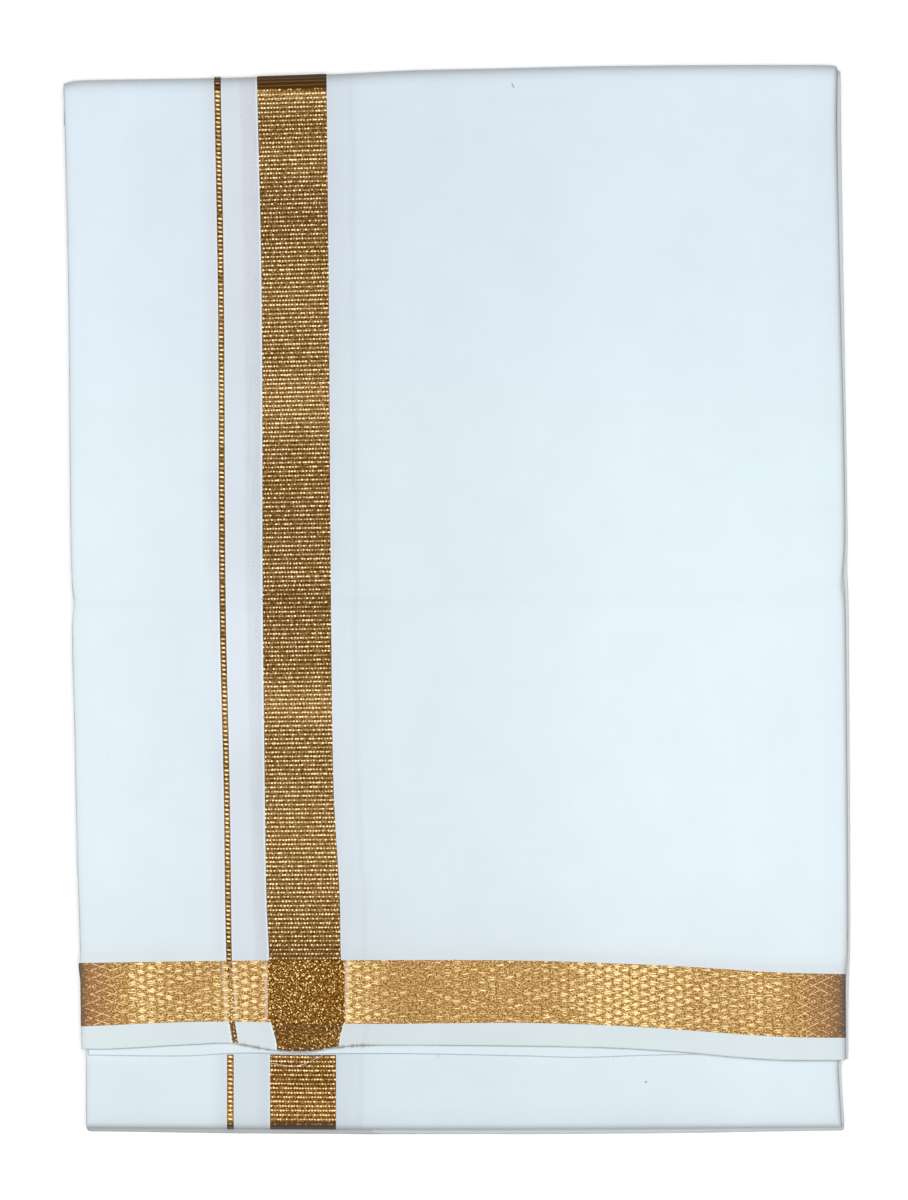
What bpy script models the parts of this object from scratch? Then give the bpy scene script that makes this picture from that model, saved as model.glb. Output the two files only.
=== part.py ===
"""A dhoti, folded flat for the shelf.

It is one length of white cotton with a ribbed gold border woven along it, a thin gold line beside the border and a
gold band across its end. It is folded in four across its width and in eight along its length, and lies on its back.
The last turn comes over the top fold and runs down the front. It ends a little short of the bottom fold, so the
next ply shows below it.

X runs across the parcel, Y up it towards the top fold, and Z out of its front. The origin is on the surface that
the parcel lies on, under its middle. Sizes are in millimetres until the meshes are made.
"""

import math
from collections import namedtuple
from functools import partial

import bmesh
import bpy

MM = 0.001

# The whole stack.
PLIES_ACROSS = 4
TURNS_ALONG = 8
PLY = 0.375
THICKNESS = PLIES_ACROSS * TURNS_ALONG * PLY

# Walls that stand for the plies that show, outermost first. outer is how deep a wall's outer face lies.
WALL = 1.1
GAP = 0.3
END_GAP = 0.6
Layer = namedtuple("Layer", "outer inner")
FRONT = Layer(outer=0.0, inner=WALL)
FLAP_UNDER = Layer(outer=FRONT.inner + GAP, inner=FRONT.inner + GAP + WALL)
LOWER = Layer(outer=FLAP_UNDER.inner + GAP, inner=FLAP_UNDER.inner + GAP + WALL)
HIDDEN_DEPTH = LOWER.inner + GAP

# How the stack thins towards its edges, by the distance from the edge, and swells towards its middle.
Slope = namedtuple("Slope", "inset drop")
SHOULDER = [Slope(0.0, 1.0), Slope(2.0, 0.55), Slope(6.0, 0.15), Slope(10.0, 0.0)]
CROWN_HEIGHT = 0.8
CROWN_REACH = 110.0

# The crease across the middle, where the parcel was once folded in half.
CREASE = [Slope(0.0, 0.5), Slope(3.0, 0.2), Slope(7.0, 0.0)]
CREASE_AT_LEFT = 0.4
CREASE_SLANT = 0.012

# Soft waves of the front, each with its height, its length and the way it runs.
Wave = namedtuple("Wave", "height length angle phase")
WAVE_INSET = 45.0
WAVES = [Wave(0.14, 150.0, 70.0, 0.6), Wave(0.10, 95.0, 20.0, 2.1), Wave(0.07, 120.0, 130.0, 4.0)]

# The sides of the front ply, and of the wall under it at the right, going up the parcel.
Side = namedtuple("Side", "y left right under_right")
SIDES = [
    Side(y=-194.0, left=-157.3, right=163.6, under_right=164.8),
    Side(y=-161.0, left=-157.6, right=163.4, under_right=164.9),
    Side(y=-154.0, left=-158.3, right=163.8, under_right=165.2),
    Side(y=-147.0, left=-157.9, right=164.4, under_right=165.5),
    Side(y=-105.0, left=-159.2, right=164.3, under_right=165.5),
    Side(y=-55.0, left=-160.2, right=163.9, under_right=165.2),
    Side(y=-10.0, left=-161.3, right=163.4, under_right=164.9),
    Side(y=0.0, left=-160.5, right=163.0, under_right=164.6),
    Side(y=6.0, left=-161.2, right=162.3, under_right=164.3),
    Side(y=20.0, left=-161.7, right=163.2, under_right=164.5),
    Side(y=62.0, left=-162.2, right=162.8, under_right=163.9),
    Side(y=126.0, left=-162.7, right=161.5, under_right=162.8),
    Side(y=196.0, left=-164.2, right=160.2, under_right=161.7),
    Side(y=220.0, left=-164.9, right=160.4, under_right=161.5),
]
HIDDEN_INSET_LEFT = 1.9
HIDDEN_INSET_RIGHT = 1.8
UNDER_INSET_LEFT = 1.2
UNDER_INSET_AT_END = 3.0
UNDER_INSET_FROM = -150.0
UNDER_INSET_FULL = -190.0

# The ends, going across the parcel.
Across = namedtuple("Across", "x y")
TOP_FOLD = [
    Across(-165.0, 216.6),
    Across(-161.0, 217.7),
    Across(-155.0, 218.1),
    Across(-100.0, 219.0),
    Across(-54.0, 220.5),
    Across(-19.0, 222.2),
    Across(17.0, 223.0),
    Across(55.0, 223.9),
    Across(102.0, 224.4),
    Across(150.0, 224.4),
    Across(156.0, 224.1),
    Across(159.0, 223.4),
    Across(162.0, 222.2),
]
FRONT_END = [
    Across(-157.0, -189.0),
    Across(-145.0, -189.0),
    Across(-110.0, -187.1),
    Across(-94.0, -186.7),
    Across(-75.0, -189.8),
    Across(-62.0, -190.3),
    Across(-50.0, -188.4),
    Across(-40.0, -187.5),
    Across(0.0, -187.5),
    Across(60.0, -188.4),
    Across(94.0, -190.3),
    Across(122.0, -192.8),
    Across(138.0, -193.7),
    Across(164.0, -193.8),
]
UNDER_END = [
    Across(-157.0, -191.5),
    Across(-114.0, -191.9),
    Across(-91.0, -190.7),
    Across(-62.0, -191.0),
    Across(-23.0, -190.9),
    Across(30.0, -191.9),
    Across(52.0, -192.5),
    Across(81.0, -191.6),
    Across(120.0, -191.0),
    Across(150.0, -192.0),
    Across(165.0, -193.4),
]
LOWER_FOLD = [Across(-155.0, -222.0), Across(0.0, -222.7), Across(162.0, -221.9)]
BOTTOM = [Across(-156.0, -223.6), Across(-65.0, -224.7), Across(60.0, -224.7), Across(163.0, -223.3)]

# The folds' tails, which run back between the layers.
TAIL = 12.0
LOWER_FOLD_RADIUS = 2.3

# The woven gold: the border and the thin line going up the front, and the band across it.
Warpwise = namedtuple("Warpwise", "y border_left border_right line_left line_right")
GOLD_LINES = [
    Warpwise(y=-223.0, border_left=-77.5, border_right=-50.0, line_left=-95.6, line_right=-92.8),
    Warpwise(y=-189.0, border_left=-75.2, border_right=-49.3, line_left=-93.8, line_right=-91.3),
    Warpwise(y=-178.0, border_left=-77.6, border_right=-47.4, line_left=-94.9, line_right=-92.4),
    Warpwise(y=-168.0, border_left=-78.7, border_right=-46.5, line_left=-95.8, line_right=-93.2),
    Warpwise(y=-151.0, border_left=-78.5, border_right=-48.3, line_left=-96.0, line_right=-93.4),
    Warpwise(y=-126.0, border_left=-79.6, border_right=-48.8, line_left=-96.9, line_right=-94.0),
    Warpwise(y=-79.0, border_left=-80.3, border_right=-51.4, line_left=-97.7, line_right=-94.9),
    Warpwise(y=0.0, border_left=-81.2, border_right=-52.5, line_left=-99.5, line_right=-96.6),
    Warpwise(y=126.0, border_left=-81.6, border_right=-53.4, line_left=-100.3, line_right=-97.5),
    Warpwise(y=220.0, border_left=-83.6, border_right=-54.4, line_left=-101.9, line_right=-98.8),
]
Band = namedtuple("Band", "x upper lower")
END_BAND = [
    Band(x=-157.0, upper=-152.9, lower=-179.5),
    Band(x=-106.0, upper=-152.1, lower=-177.5),
    Band(x=-40.0, upper=-151.7, lower=-178.4),
    Band(x=29.0, upper=-151.9, lower=-178.0),
    Band(x=70.0, upper=-153.2, lower=-179.3),
    Band(x=96.0, upper=-154.4, lower=-181.0),
    Band(x=136.0, upper=-156.9, lower=-183.8),
    Band(x=164.0, upper=-157.6, lower=-184.3),
]
CROSSING = Warpwise(y=-165.0, border_left=-78.8, border_right=-46.7, line_left=0.0, line_right=0.0)
RIB_PITCH = 1.9
RIB_HEIGHT = 0.35
GOLD_THICKNESS = 0.45
GOLD_LAST_DEGREES = 130.0
LOWER_GOLD_LAST_DEGREES = 120.0

# The meshes' rows and columns.
EDGE_STEPS = (0.0, 0.35, 1.2)
FLAP_COLUMNS = (6.0, 10.0, 30.0, 52.0, 70.0, 88.0, 102.0, 114.0, 124.0, 165.0, 225.0, 259.0, 287.0, 303.0)
UNDER_COLUMNS = (6.0, 10.0, 50.0, 74.0, 103.0, 142.0, 195.0, 217.0, 246.0, 285.0)
LOWER_COLUMNS = (6.0, 10.0, 60.0, 115.0, 165.0, 215.0, 270.0)
RIGHT_COLUMNS = (10.0, 6.0)
ROWS_BELOW_CREASE = (-181.0, -161.0, -154.0, -147.0, -105.0, -60.0, -25.0)
ROWS_ABOVE_CREASE = (30.0, 75.0, 120.0, 165.0, 200.0)
FOLD_DEGREES = tuple(range(0, 181, 20))
LOWER_FOLD_DEGREES = tuple(range(0, 181, 30))
ROWS_BELOW_FLAP = (-214.0, -200.0)
LOWER_ROWS = ROWS_BELOW_FLAP + ROWS_BELOW_CREASE
ROUNDED_SHARE = 0.6

# The hidden layers: each lip of the stack, from the surface up. side and end say how far it stands back.
Lip = namedtuple("Lip", "base top side end")
Level = namedtuple("Level", "height side bottom top")
UNDER_LIPS = [
    Lip(base=0.0, top=1.25, side=0.5, end=0.6),
    Lip(base=1.25, top=2.65, side=0.0, end=0.0),
    Lip(base=2.65, top=4.15, side=0.4, end=0.3),
]
CORE_LIPS = [Lip(base=4.3, top=5.95, side=0.2, end=0.0), Lip(base=6.1, top=7.8, side=0.0, end=0.0)]
GROOVE = 0.7
LIP_ROUND = 0.3
CAP_SINK = 0.4
CAP_INSETS = (1.6, 40.0, 100.0)
CORNER = 3.0
CORNER_DEGREES = (0, 30, 60, 90)
LOOP_X = (0.12, 0.3, 0.5, 0.7, 0.88)
LOOP_Y = (0.06, 0.2, 0.35, 0.485, 0.5, 0.515, 0.65, 0.8, 0.94)

Finish = namedtuple("Finish", "colour roughness metallic")
COTTON = Finish(colour=(0.80, 0.86, 0.89, 1.0), roughness=0.85, metallic=0.0)
ZARI = Finish(colour=(0.55, 0.34, 0.11, 1.0), roughness=0.38, metallic=0.85)


def read_table(table, key, column, at):
    """A column of a table at a place on its key column, smooth through the rows and level past the ends."""
    keys = [getattr(row, key) for row in table]
    values = [getattr(row, column) for row in table]
    if at <= keys[0]:
        return values[0]
    if at >= keys[-1]:
        return values[-1]
    i = max(k for k in range(len(keys) - 1) if keys[k] <= at)

    def slope(k):
        low = max(k - 1, 0)
        high = min(k + 1, len(keys) - 1)
        return (values[high] - values[low]) / (keys[high] - keys[low])

    span = keys[i + 1] - keys[i]
    t = (at - keys[i]) / span
    start = (1 + 2 * t) * (1 - t) ** 2 * values[i] + t * (1 - t) ** 2 * span * slope(i)
    return start + t * t * (3 - 2 * t) * values[i + 1] - t * t * (1 - t) * span * slope(i + 1)


def read_slope(table, distance):
    """The drop at a distance from an edge or a crease, straight between the rows."""
    for near, far in zip(table, table[1:]):
        if distance <= far.inset:
            share = (distance - near.inset) / (far.inset - near.inset)
            return near.drop + (far.drop - near.drop) * share
    return 0.0


def left_side(y):
    return read_table(SIDES, "y", "left", y)


def right_side(y):
    return read_table(SIDES, "y", "right", y)


def parcel_right(y):
    return read_table(SIDES, "y", "under_right", y)


def top_fold(x):
    return read_table(TOP_FOLD, "x", "y", x)


def crease_line(x):
    return CREASE_AT_LEFT + CREASE_SLANT * (x - left_side(0.0))


def wave_height(wave, x, y):
    angle = math.radians(wave.angle)
    along = x * math.cos(angle) + y * math.sin(angle)
    return wave.height * math.sin(2 * math.pi * along / wave.length + wave.phase)


def thickness_at(x, y):
    """How thick the stack is, from the surface it lies on to the front ply's face."""
    side = min(x - left_side(y), parcel_right(y) - x)
    end = y - read_table(BOTTOM, "x", "y", x)
    inset = max(0.0, min(side, end))
    inland = max(0.0, min(inset, top_fold(x) - y, CROWN_REACH)) / CROWN_REACH
    swell = CROWN_HEIGHT * inland * (2 - inland)
    waves = sum(wave_height(wave, x, y) for wave in WAVES)
    crease = read_slope(CREASE, abs(y - crease_line(x)))
    return THICKNESS + swell + waves * min(1.0, inset / WAVE_INSET) - crease - read_slope(SHOULDER, inset)


def fold_row(x, degrees):
    """The place on the unrolled front that lies so far round the top fold."""
    radius = thickness_at(x, top_fold(x) - THICKNESS / 2) / 2
    return top_fold(x) - radius + radius * math.radians(degrees)


def place(x, v, depth):
    """A point at x and v on the unrolled front, and depth in from its face. Past the top fold it is underneath."""
    radius = thickness_at(x, top_fold(x) - THICKNESS / 2) / 2
    fold = top_fold(x) - radius
    if v <= fold:
        full = thickness_at(x, v)
        blend = max(0.0, 1 - (fold - v) / THICKNESS)
        full += (2 * radius - full) * blend
        return x, v, full * (1 - depth / THICKNESS)
    inner = radius * (1 - 2 * depth / THICKNESS)
    turn = (v - fold) / radius
    if turn <= math.pi:
        return x, fold + inner * math.sin(turn), radius + inner * math.cos(turn)
    return x, fold - (turn - math.pi) * radius, radius - inner


def place_lower(x, v, depth):
    """The same for the lower ply, which also turns round the bottom fold."""
    fold = lower_fold(x) + LOWER_FOLD_RADIUS
    if v >= fold:
        return place(x, v, depth)
    full = thickness_at(x, fold)
    scale = full / THICKNESS
    inner = LOWER_FOLD_RADIUS - (depth - LOWER.outer) * scale
    centre = full - LOWER.outer * scale - LOWER_FOLD_RADIUS
    turn = (fold - v) / LOWER_FOLD_RADIUS
    if turn <= math.pi:
        return x, fold - inner * math.sin(turn), centre + inner * math.cos(turn)
    return x, fold + (turn - math.pi) * LOWER_FOLD_RADIUS, centre - inner


def rounding(distance):
    """How far a wall's outer face sinks towards its edge."""
    return ROUNDED_SHARE * WALL * max(0.0, 1 - distance / EDGE_STEPS[-1]) ** 2


def columns(left, right, y, from_left):
    """(x, distance from the wall's edge) across a wall, on lines that keep their distance from the parcel's sides."""
    shared = [left_side(y) + inset for inset in from_left]
    shared += [parcel_right(y) - inset for inset in RIGHT_COLUMNS]
    near = [(left + step, step) for step in EDGE_STEPS]
    far = [(right - step, step) for step in reversed(EDGE_STEPS)]
    return near + [(x, EDGE_STEPS[-1]) for x in shared] + far


def make_solid(name, grid, finish):
    """A closed wall from rows of (outer point, inner point)."""
    mesh = bmesh.new()
    outer = [[mesh.verts.new([c * MM for c in point]) for point, _ in row] for row in grid]
    inner = [[mesh.verts.new([c * MM for c in point]) for _, point in row] for row in grid]
    last_row = len(grid) - 1
    last_column = len(grid[0]) - 1
    for i in range(last_row):
        for j in range(last_column):
            mesh.faces.new([outer[i][j], outer[i][j + 1], outer[i + 1][j + 1], outer[i + 1][j]])
            mesh.faces.new([inner[i][j], inner[i + 1][j], inner[i + 1][j + 1], inner[i][j + 1]])
        for j in (0, last_column):
            mesh.faces.new([outer[i][j], outer[i + 1][j], inner[i + 1][j], inner[i][j]])
    for j in range(last_column):
        for i in (0, last_row):
            mesh.faces.new([outer[i][j], outer[i][j + 1], inner[i][j + 1], inner[i][j]])
    return finish_mesh(name, mesh, finish)


def finish_mesh(name, mesh, finish):
    bmesh.ops.recalc_face_normals(mesh, faces=mesh.faces)
    data = bpy.data.meshes.new(name)
    mesh.to_mesh(data)
    mesh.free()
    data.shade_smooth()
    data.set_sharp_from_angle(angle=math.radians(40))
    solid = bpy.data.objects.new(name, data)
    bpy.context.scene.collection.objects.link(solid)
    material = bpy.data.materials.new(name)
    material.use_nodes = True
    shader = material.node_tree.nodes["Principled BSDF"]
    shader.inputs["Base Color"].default_value = finish.colour
    shader.inputs["Roughness"].default_value = finish.roughness
    shader.inputs["Metallic"].default_value = finish.metallic
    data.materials.append(material)
    return solid


def make_ply(name, layer, left, right, end, from_left):
    """A wall from the cloth's end, up the front, round the top fold and back under it by its tail."""
    rows = [lambda x, step=step: end(x) + step for step in EDGE_STEPS]
    rows += [lambda x, y=y: y for y in ROWS_BELOW_CREASE]
    rows += [lambda x, s=s: crease_line(x) + s for s in crease_offsets()]
    rows += [lambda x, y=y: y for y in ROWS_ABOVE_CREASE]
    rows += [lambda x, degrees=degrees: fold_row(x, degrees) for degrees in FOLD_DEGREES]
    rows.append(lambda x: fold_row(x, 180) + TAIL)
    grid = []
    for number, row in enumerate(rows):
        at_end = EDGE_STEPS[min(number, len(EDGE_STEPS) - 1)]
        level = min(row(0.0), top_fold(0.0))
        line = []
        for x, at_side in columns(left(level), right(level), level, from_left):
            sunk = layer.outer + rounding(min(at_end, at_side))
            line.append((place(x, row(x), sunk), place(x, row(x), layer.inner)))
        grid.append(line)
    return make_solid(name, grid, COTTON)


def crease_offsets():
    far_first = [-step.inset for step in reversed(CREASE)]
    return far_first + [step.inset for step in CREASE[1:]]


def make_front_ply():
    make_ply("front_ply", FRONT, left_side, right_side, front_end, FLAP_COLUMNS)


def make_flap_under_ply():
    def left(y):
        near_end = max(0.0, min(1.0, (UNDER_INSET_FROM - y) / (UNDER_INSET_FROM - UNDER_INSET_FULL)))
        return left_side(y) + UNDER_INSET_LEFT + (UNDER_INSET_AT_END - UNDER_INSET_LEFT) * near_end

    make_ply("flap_under_ply", FLAP_UNDER, left, parcel_right, under_end, UNDER_COLUMNS)


def hidden_left(y):
    return left_side(y) + HIDDEN_INSET_LEFT


def hidden_right(y):
    return right_side(y) - HIDDEN_INSET_RIGHT


def lower_fold_row(x, degrees):
    fold = lower_fold(x) + LOWER_FOLD_RADIUS
    return fold - LOWER_FOLD_RADIUS * math.radians(degrees)


def make_lower_ply():
    rows = [lambda x: lower_fold_row(x, 180) - TAIL]
    rows += [lambda x, degrees=degrees: lower_fold_row(x, degrees) for degrees in reversed(LOWER_FOLD_DEGREES)]
    rows += [lambda x, y=y: y for y in LOWER_ROWS]
    rows += [lambda x, s=s: crease_line(x) + s for s in crease_offsets()]
    rows += [lambda x, y=y: y for y in ROWS_ABOVE_CREASE]
    rows += [lambda x, degrees=degrees: fold_row(x, degrees) for degrees in FOLD_DEGREES]
    rows.append(lambda x: fold_row(x, 180) + TAIL)
    grid = []
    for row in rows:
        level = max(min(row(0.0), top_fold(0.0)), BOTTOM[0].y)
        line = []
        for x, at_side in columns(hidden_left(level), hidden_right(level), level, LOWER_COLUMNS):
            sunk = LOWER.outer + rounding(at_side)
            line.append((place_lower(x, row(x), sunk), place_lower(x, row(x), LOWER.inner)))
        grid.append(line)
    make_solid("lower_ply", grid, COTTON)


def top_edge(inset, x, height):
    """The layers' plain end near the top fold, which leaves room for the walls that turn back under it."""
    return top_fold(x) - THICKNESS / 2 - inset


def top_bend(inset, x, height):
    """The layers' round end inside the top fold."""
    radius = THICKNESS / 2 - HIDDEN_DEPTH
    reach = math.sqrt(max(radius**2 - (height - THICKNESS / 2) ** 2, 0.0))
    return top_fold(x) - THICKNESS / 2 + reach


def bottom_edge(inset, x):
    return read_table(BOTTOM, "x", "y", x) + inset


def inside_lower_fold(inset, x):
    return lower_fold(x) + inset


def lower_fold(x):
    return read_table(LOWER_FOLD, "x", "y", x)


def hidden_levels():
    """The loops round the hidden layers, from the surface up."""
    tail_end = TAIL + END_GAP
    levels = []
    for lip in UNDER_LIPS:
        for height, back in ((lip.base, GROOVE), (lip.base + LIP_ROUND, 0.0), (lip.top - LIP_ROUND, 0.0)):
            bottom = partial(bottom_edge, lip.end + back)
            levels.append(Level(height, lip.side + back, bottom, partial(top_edge, tail_end + back)))
    last = UNDER_LIPS[-1]
    bottom = partial(bottom_edge, last.end + GROOVE)
    levels.append(Level(last.top, last.side + GROOVE, bottom, partial(top_edge, tail_end + GROOVE)))
    beside_tail = LOWER_FOLD_RADIUS + TAIL + GAP
    inside_fold = WALL + GAP
    for lip, inset in zip(CORE_LIPS, (beside_tail, inside_fold)):
        heights = (
            (lip.base, LIP_ROUND),
            (lip.base + LIP_ROUND, 0.0),
            (lip.top - LIP_ROUND, 0.0),
            (lip.top, GROOVE),
        )
        for height, back in heights:
            bottom = partial(inside_lower_fold, inset + back)
            levels.append(Level(height, lip.side + back, bottom, partial(top_bend, 0.0)))
    cap = CORE_LIPS[-1].top - CAP_SINK
    levels.pop()
    for inset in CAP_INSETS:
        bottom = partial(inside_lower_fold, inside_fold + inset)
        levels.append(Level(cap, inset, bottom, partial(top_edge, inset)))
    return levels


def loop_points(level):
    """One loop: the bottom edge, the right side, the top edge and the left side, with rounded corners."""
    left = partial(hidden_side, hidden_left, level.side)
    right = partial(hidden_side, hidden_right, -level.side)
    low = level.bottom(0.0) + CORNER
    high = level.top(0.0, level.height) - CORNER
    first = left(0.0) + CORNER
    last = right(0.0) - CORNER
    across = [first + (last - first) * share for share in LOOP_X]
    up = [low + (high - low) * share for share in LOOP_Y]
    top = partial(top_at, level)
    points = [(x, level.bottom(x)) for x in across]
    points += corner_points(right(low), level.bottom, 1, -1)
    points += [(right(y), y) for y in up]
    points += corner_points(right(high), top, 1, 1)
    points += [(x, top(x)) for x in reversed(across)]
    points += corner_points(left(high), top, -1, 1)
    points += [(left(y), y) for y in reversed(up)]
    points += corner_points(left(low), level.bottom, -1, -1)
    return [(x, y, level.height / THICKNESS * thickness_at(x, y)) for x, y in points]


def hidden_side(edge, inset, y):
    return edge(y) + inset


def top_at(level, x):
    return level.top(x, level.height)


def corner_points(edge_x, end, side, way):
    """Points round one corner, in the loop's order. side is 1 at the right, way is 1 at the top."""
    centre_x = edge_x - side * CORNER
    centre_y = end(centre_x) - way * CORNER
    points = []
    for degrees in CORNER_DEGREES if side == way else reversed(CORNER_DEGREES):
        angle = math.radians(degrees)
        points.append((centre_x + side * CORNER * math.cos(angle), centre_y + way * CORNER * math.sin(angle)))
    return points


def make_folded_layers():
    mesh = bmesh.new()
    loops = []
    for level in hidden_levels():
        loops.append([mesh.verts.new([c * MM for c in point]) for point in loop_points(level)])
    for low, high in zip(loops, loops[1:]):
        for k in range(len(low)):
            after = (k + 1) % len(low)
            mesh.faces.new([low[k], low[after], high[after], high[k]])
    mesh.faces.new(list(reversed(loops[0])))
    mesh.faces.new(loops[-1])
    finish_mesh("folded_layers", mesh, COTTON)


def make_gold(name, rows, put, layer):
    """A woven gold stretch on a wall. A row is [(x, v, lift, sunk)]: lift raises a rib, and sunk is as the wall's."""
    base = layer.outer - GAP
    grid = []
    for row in rows:
        line = []
        for x, v, lift, sunk in row:
            line.append((put(x, v, base - GOLD_THICKNESS - lift + sunk), put(x, v, base + sunk)))
        grid.append(line)
    make_solid(name, grid, ZARI)


def gold_edge(column, v):
    return read_table(GOLD_LINES, "y", column, v)


def ribbed_rows(low, high, left, right):
    """Rows every half pitch between two ends, which are places on the front for an x: grooves and ribs by turns."""
    middle = (left(0.0) + right(0.0)) / 2
    halves = 2 * round((high(middle) - low(middle)) / RIB_PITCH)
    rows = []
    for k in range(halves + 1):
        share = k / halves
        level = low(middle) + share * (high(middle) - low(middle))
        lift = RIB_HEIGHT if k % 2 else 0.0
        row = []
        for x in (left(level), right(level)):
            row.append((x, low(x) + share * (high(x) - low(x)), lift, 0.0))
        rows.append(row)
    return rows


def band_edge(column, x):
    return read_table(END_BAND, "x", column, x)


def front_end(x):
    return read_table(FRONT_END, "x", "y", x)


def under_end(x):
    return read_table(UNDER_END, "x", "y", x)


def make_main_border():
    left = partial(gold_edge, "border_left")
    right = partial(gold_edge, "border_right")
    above_band = ribbed_rows(lambda x: band_edge("upper", x) + GAP, last_gold_row, left, right)
    make_gold("main_border", above_band, place, FRONT)
    below_band = ribbed_rows(
        lambda x: front_end(x) + EDGE_STEPS[-1], lambda x: band_edge("lower", x) - GAP, left, right
    )
    make_gold("main_border_end", below_band, place, FRONT)


def last_gold_row(x):
    return fold_row(x, GOLD_LAST_DEGREES)


def plain_rows(places, left, right):
    return [[(left(v), v, 0.0, 0.0), (right(v), v, 0.0, 0.0)] for v in places]


def make_thin_line():
    left = partial(gold_edge, "line_left")
    right = partial(gold_edge, "line_right")
    x = left(0.0)
    crease = [crease_line(x) + offset for offset in crease_offsets()]
    folds = [fold_row(x, degrees) for degrees in FOLD_DEGREES if degrees < GOLD_LAST_DEGREES]
    below = [v for v in ROWS_BELOW_CREASE if v > band_edge("upper", x) + GAP]
    places = [band_edge("upper", x) + GAP] + below + crease + list(ROWS_ABOVE_CREASE) + folds
    make_gold("thin_line", plain_rows(places, left, right), place, FRONT)
    places = [front_end(x) + EDGE_STEPS[-1], band_edge("lower", x) - GAP]
    make_gold("thin_line_end", plain_rows(places, left, right), place, FRONT)


def make_lower_gold():
    """The border and the line below the front's end, down to where they turn under the bottom fold."""
    lowest = GOLD_LINES[0]
    left = lambda v: lowest.border_left
    right = lambda v: lowest.border_right
    rows = ribbed_rows(lambda x: lower_fold_row(x, LOWER_GOLD_LAST_DEGREES), below_flap, left, right)
    make_gold("lower_border", rows, place_lower, LOWER)
    left = lambda v: lowest.line_left
    right = lambda v: lowest.line_right
    folds = [degrees for degrees in reversed(LOWER_FOLD_DEGREES) if degrees <= LOWER_GOLD_LAST_DEGREES]
    places = [lower_fold_row(lowest.line_left, degrees) for degrees in folds]
    places += [*ROWS_BELOW_FLAP, below_flap(lowest.line_left)]
    make_gold("lower_thin_line", plain_rows(places, left, right), place_lower, LOWER)


def below_flap(x):
    return min(under_end(x), front_end(x)) - END_GAP


def make_end_band():
    """The band across the end, in a stretch on each side of the block where the border crosses it."""
    left_stop = CROSSING.border_left - GAP
    right_stop = CROSSING.border_right + GAP
    parts = {"end_band_left": [], "border_crossing": [], "end_band_right": []}
    for share in (0.0, 0.5, 1.0):
        middle = front_columns(CROSSING.y)
        rows = {name: [] for name in parts}
        for number, (x, _) in enumerate(middle):
            x, at_side = front_columns(band_row(x, share))[number]
            if x < left_stop:
                rows["end_band_left"].append((x, at_side))
            elif x > right_stop:
                rows["end_band_right"].append((x, at_side))
        rows["end_band_left"].append((left_stop, EDGE_STEPS[-1]))
        rows["end_band_right"].insert(0, (right_stop, EDGE_STEPS[-1]))
        rows["border_crossing"] = [(CROSSING.border_left, EDGE_STEPS[-1]), (CROSSING.border_right, EDGE_STEPS[-1])]
        for name, row in rows.items():
            parts[name].append([(x, band_row(x, share), 0.0, rounding(at_side)) for x, at_side in row])
    for name, part in parts.items():
        make_gold(name, part, place, FRONT)


def front_columns(level):
    return columns(left_side(level), right_side(level), level, FLAP_COLUMNS)


def band_row(x, share):
    return band_edge("lower", x) + share * (band_edge("upper", x) - band_edge("lower", x))


def main():
    for old in list(bpy.data.objects):
        bpy.data.objects.remove(old, do_unlink=True)
    make_folded_layers()
    make_lower_ply()
    make_flap_under_ply()
    make_front_ply()
    make_main_border()
    make_thin_line()
    make_end_band()
    make_lower_gold()


main()
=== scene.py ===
"""The looks of a folded dhoti: fine white cotton plies with woven gold borders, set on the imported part.

The cloth is unrolled into a front coordinate: x runs across the parcel and v up its front, round the top
fold and back underneath. A depth goes in from the front's face, through the layers. Sizes in tables are in
millimetres, and sizes in the settings are in metres.
"""

import math
from collections import namedtuple
from functools import partial, partialmethod, reduce

import bpy
import numpy as np
from bpy.props import FloatProperty, FloatVectorProperty, IntProperty, PointerProperty
from bpy.types import Operator, Panel, PropertyGroup
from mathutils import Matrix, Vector


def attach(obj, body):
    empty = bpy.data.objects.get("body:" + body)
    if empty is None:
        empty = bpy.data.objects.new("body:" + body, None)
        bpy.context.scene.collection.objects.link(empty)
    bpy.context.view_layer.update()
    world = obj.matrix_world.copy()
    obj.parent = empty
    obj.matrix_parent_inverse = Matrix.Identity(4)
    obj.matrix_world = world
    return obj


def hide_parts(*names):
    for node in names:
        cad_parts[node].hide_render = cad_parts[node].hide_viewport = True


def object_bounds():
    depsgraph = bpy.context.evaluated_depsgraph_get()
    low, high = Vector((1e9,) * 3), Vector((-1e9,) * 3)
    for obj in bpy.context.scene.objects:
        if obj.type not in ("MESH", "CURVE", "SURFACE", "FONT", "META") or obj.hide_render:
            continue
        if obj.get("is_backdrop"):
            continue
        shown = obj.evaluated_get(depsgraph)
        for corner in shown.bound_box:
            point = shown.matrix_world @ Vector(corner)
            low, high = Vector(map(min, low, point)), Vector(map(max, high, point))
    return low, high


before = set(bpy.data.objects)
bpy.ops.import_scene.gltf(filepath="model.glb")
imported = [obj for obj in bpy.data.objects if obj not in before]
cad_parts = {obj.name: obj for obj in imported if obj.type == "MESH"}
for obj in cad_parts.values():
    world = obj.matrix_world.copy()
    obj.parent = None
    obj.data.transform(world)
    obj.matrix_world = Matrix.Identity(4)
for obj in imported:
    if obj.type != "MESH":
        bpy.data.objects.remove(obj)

bl_info = {
    "name": "Folded dhoti",
    "version": (1, 0, 0),
    "blender": (4, 5, 0),
    "location": "3D View > Sidebar > Dhoti",
    "description": "Builds a folded cotton dhoti with a ribbed gold border and a gold end band",
    "category": "Object",
}

PACKED_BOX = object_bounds()
MM = 0.001

Layer = namedtuple("Layer", "outer inner")
Step = namedtuple("Step", "place start stop low high", defaults=(0.0, 1.0))


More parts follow.
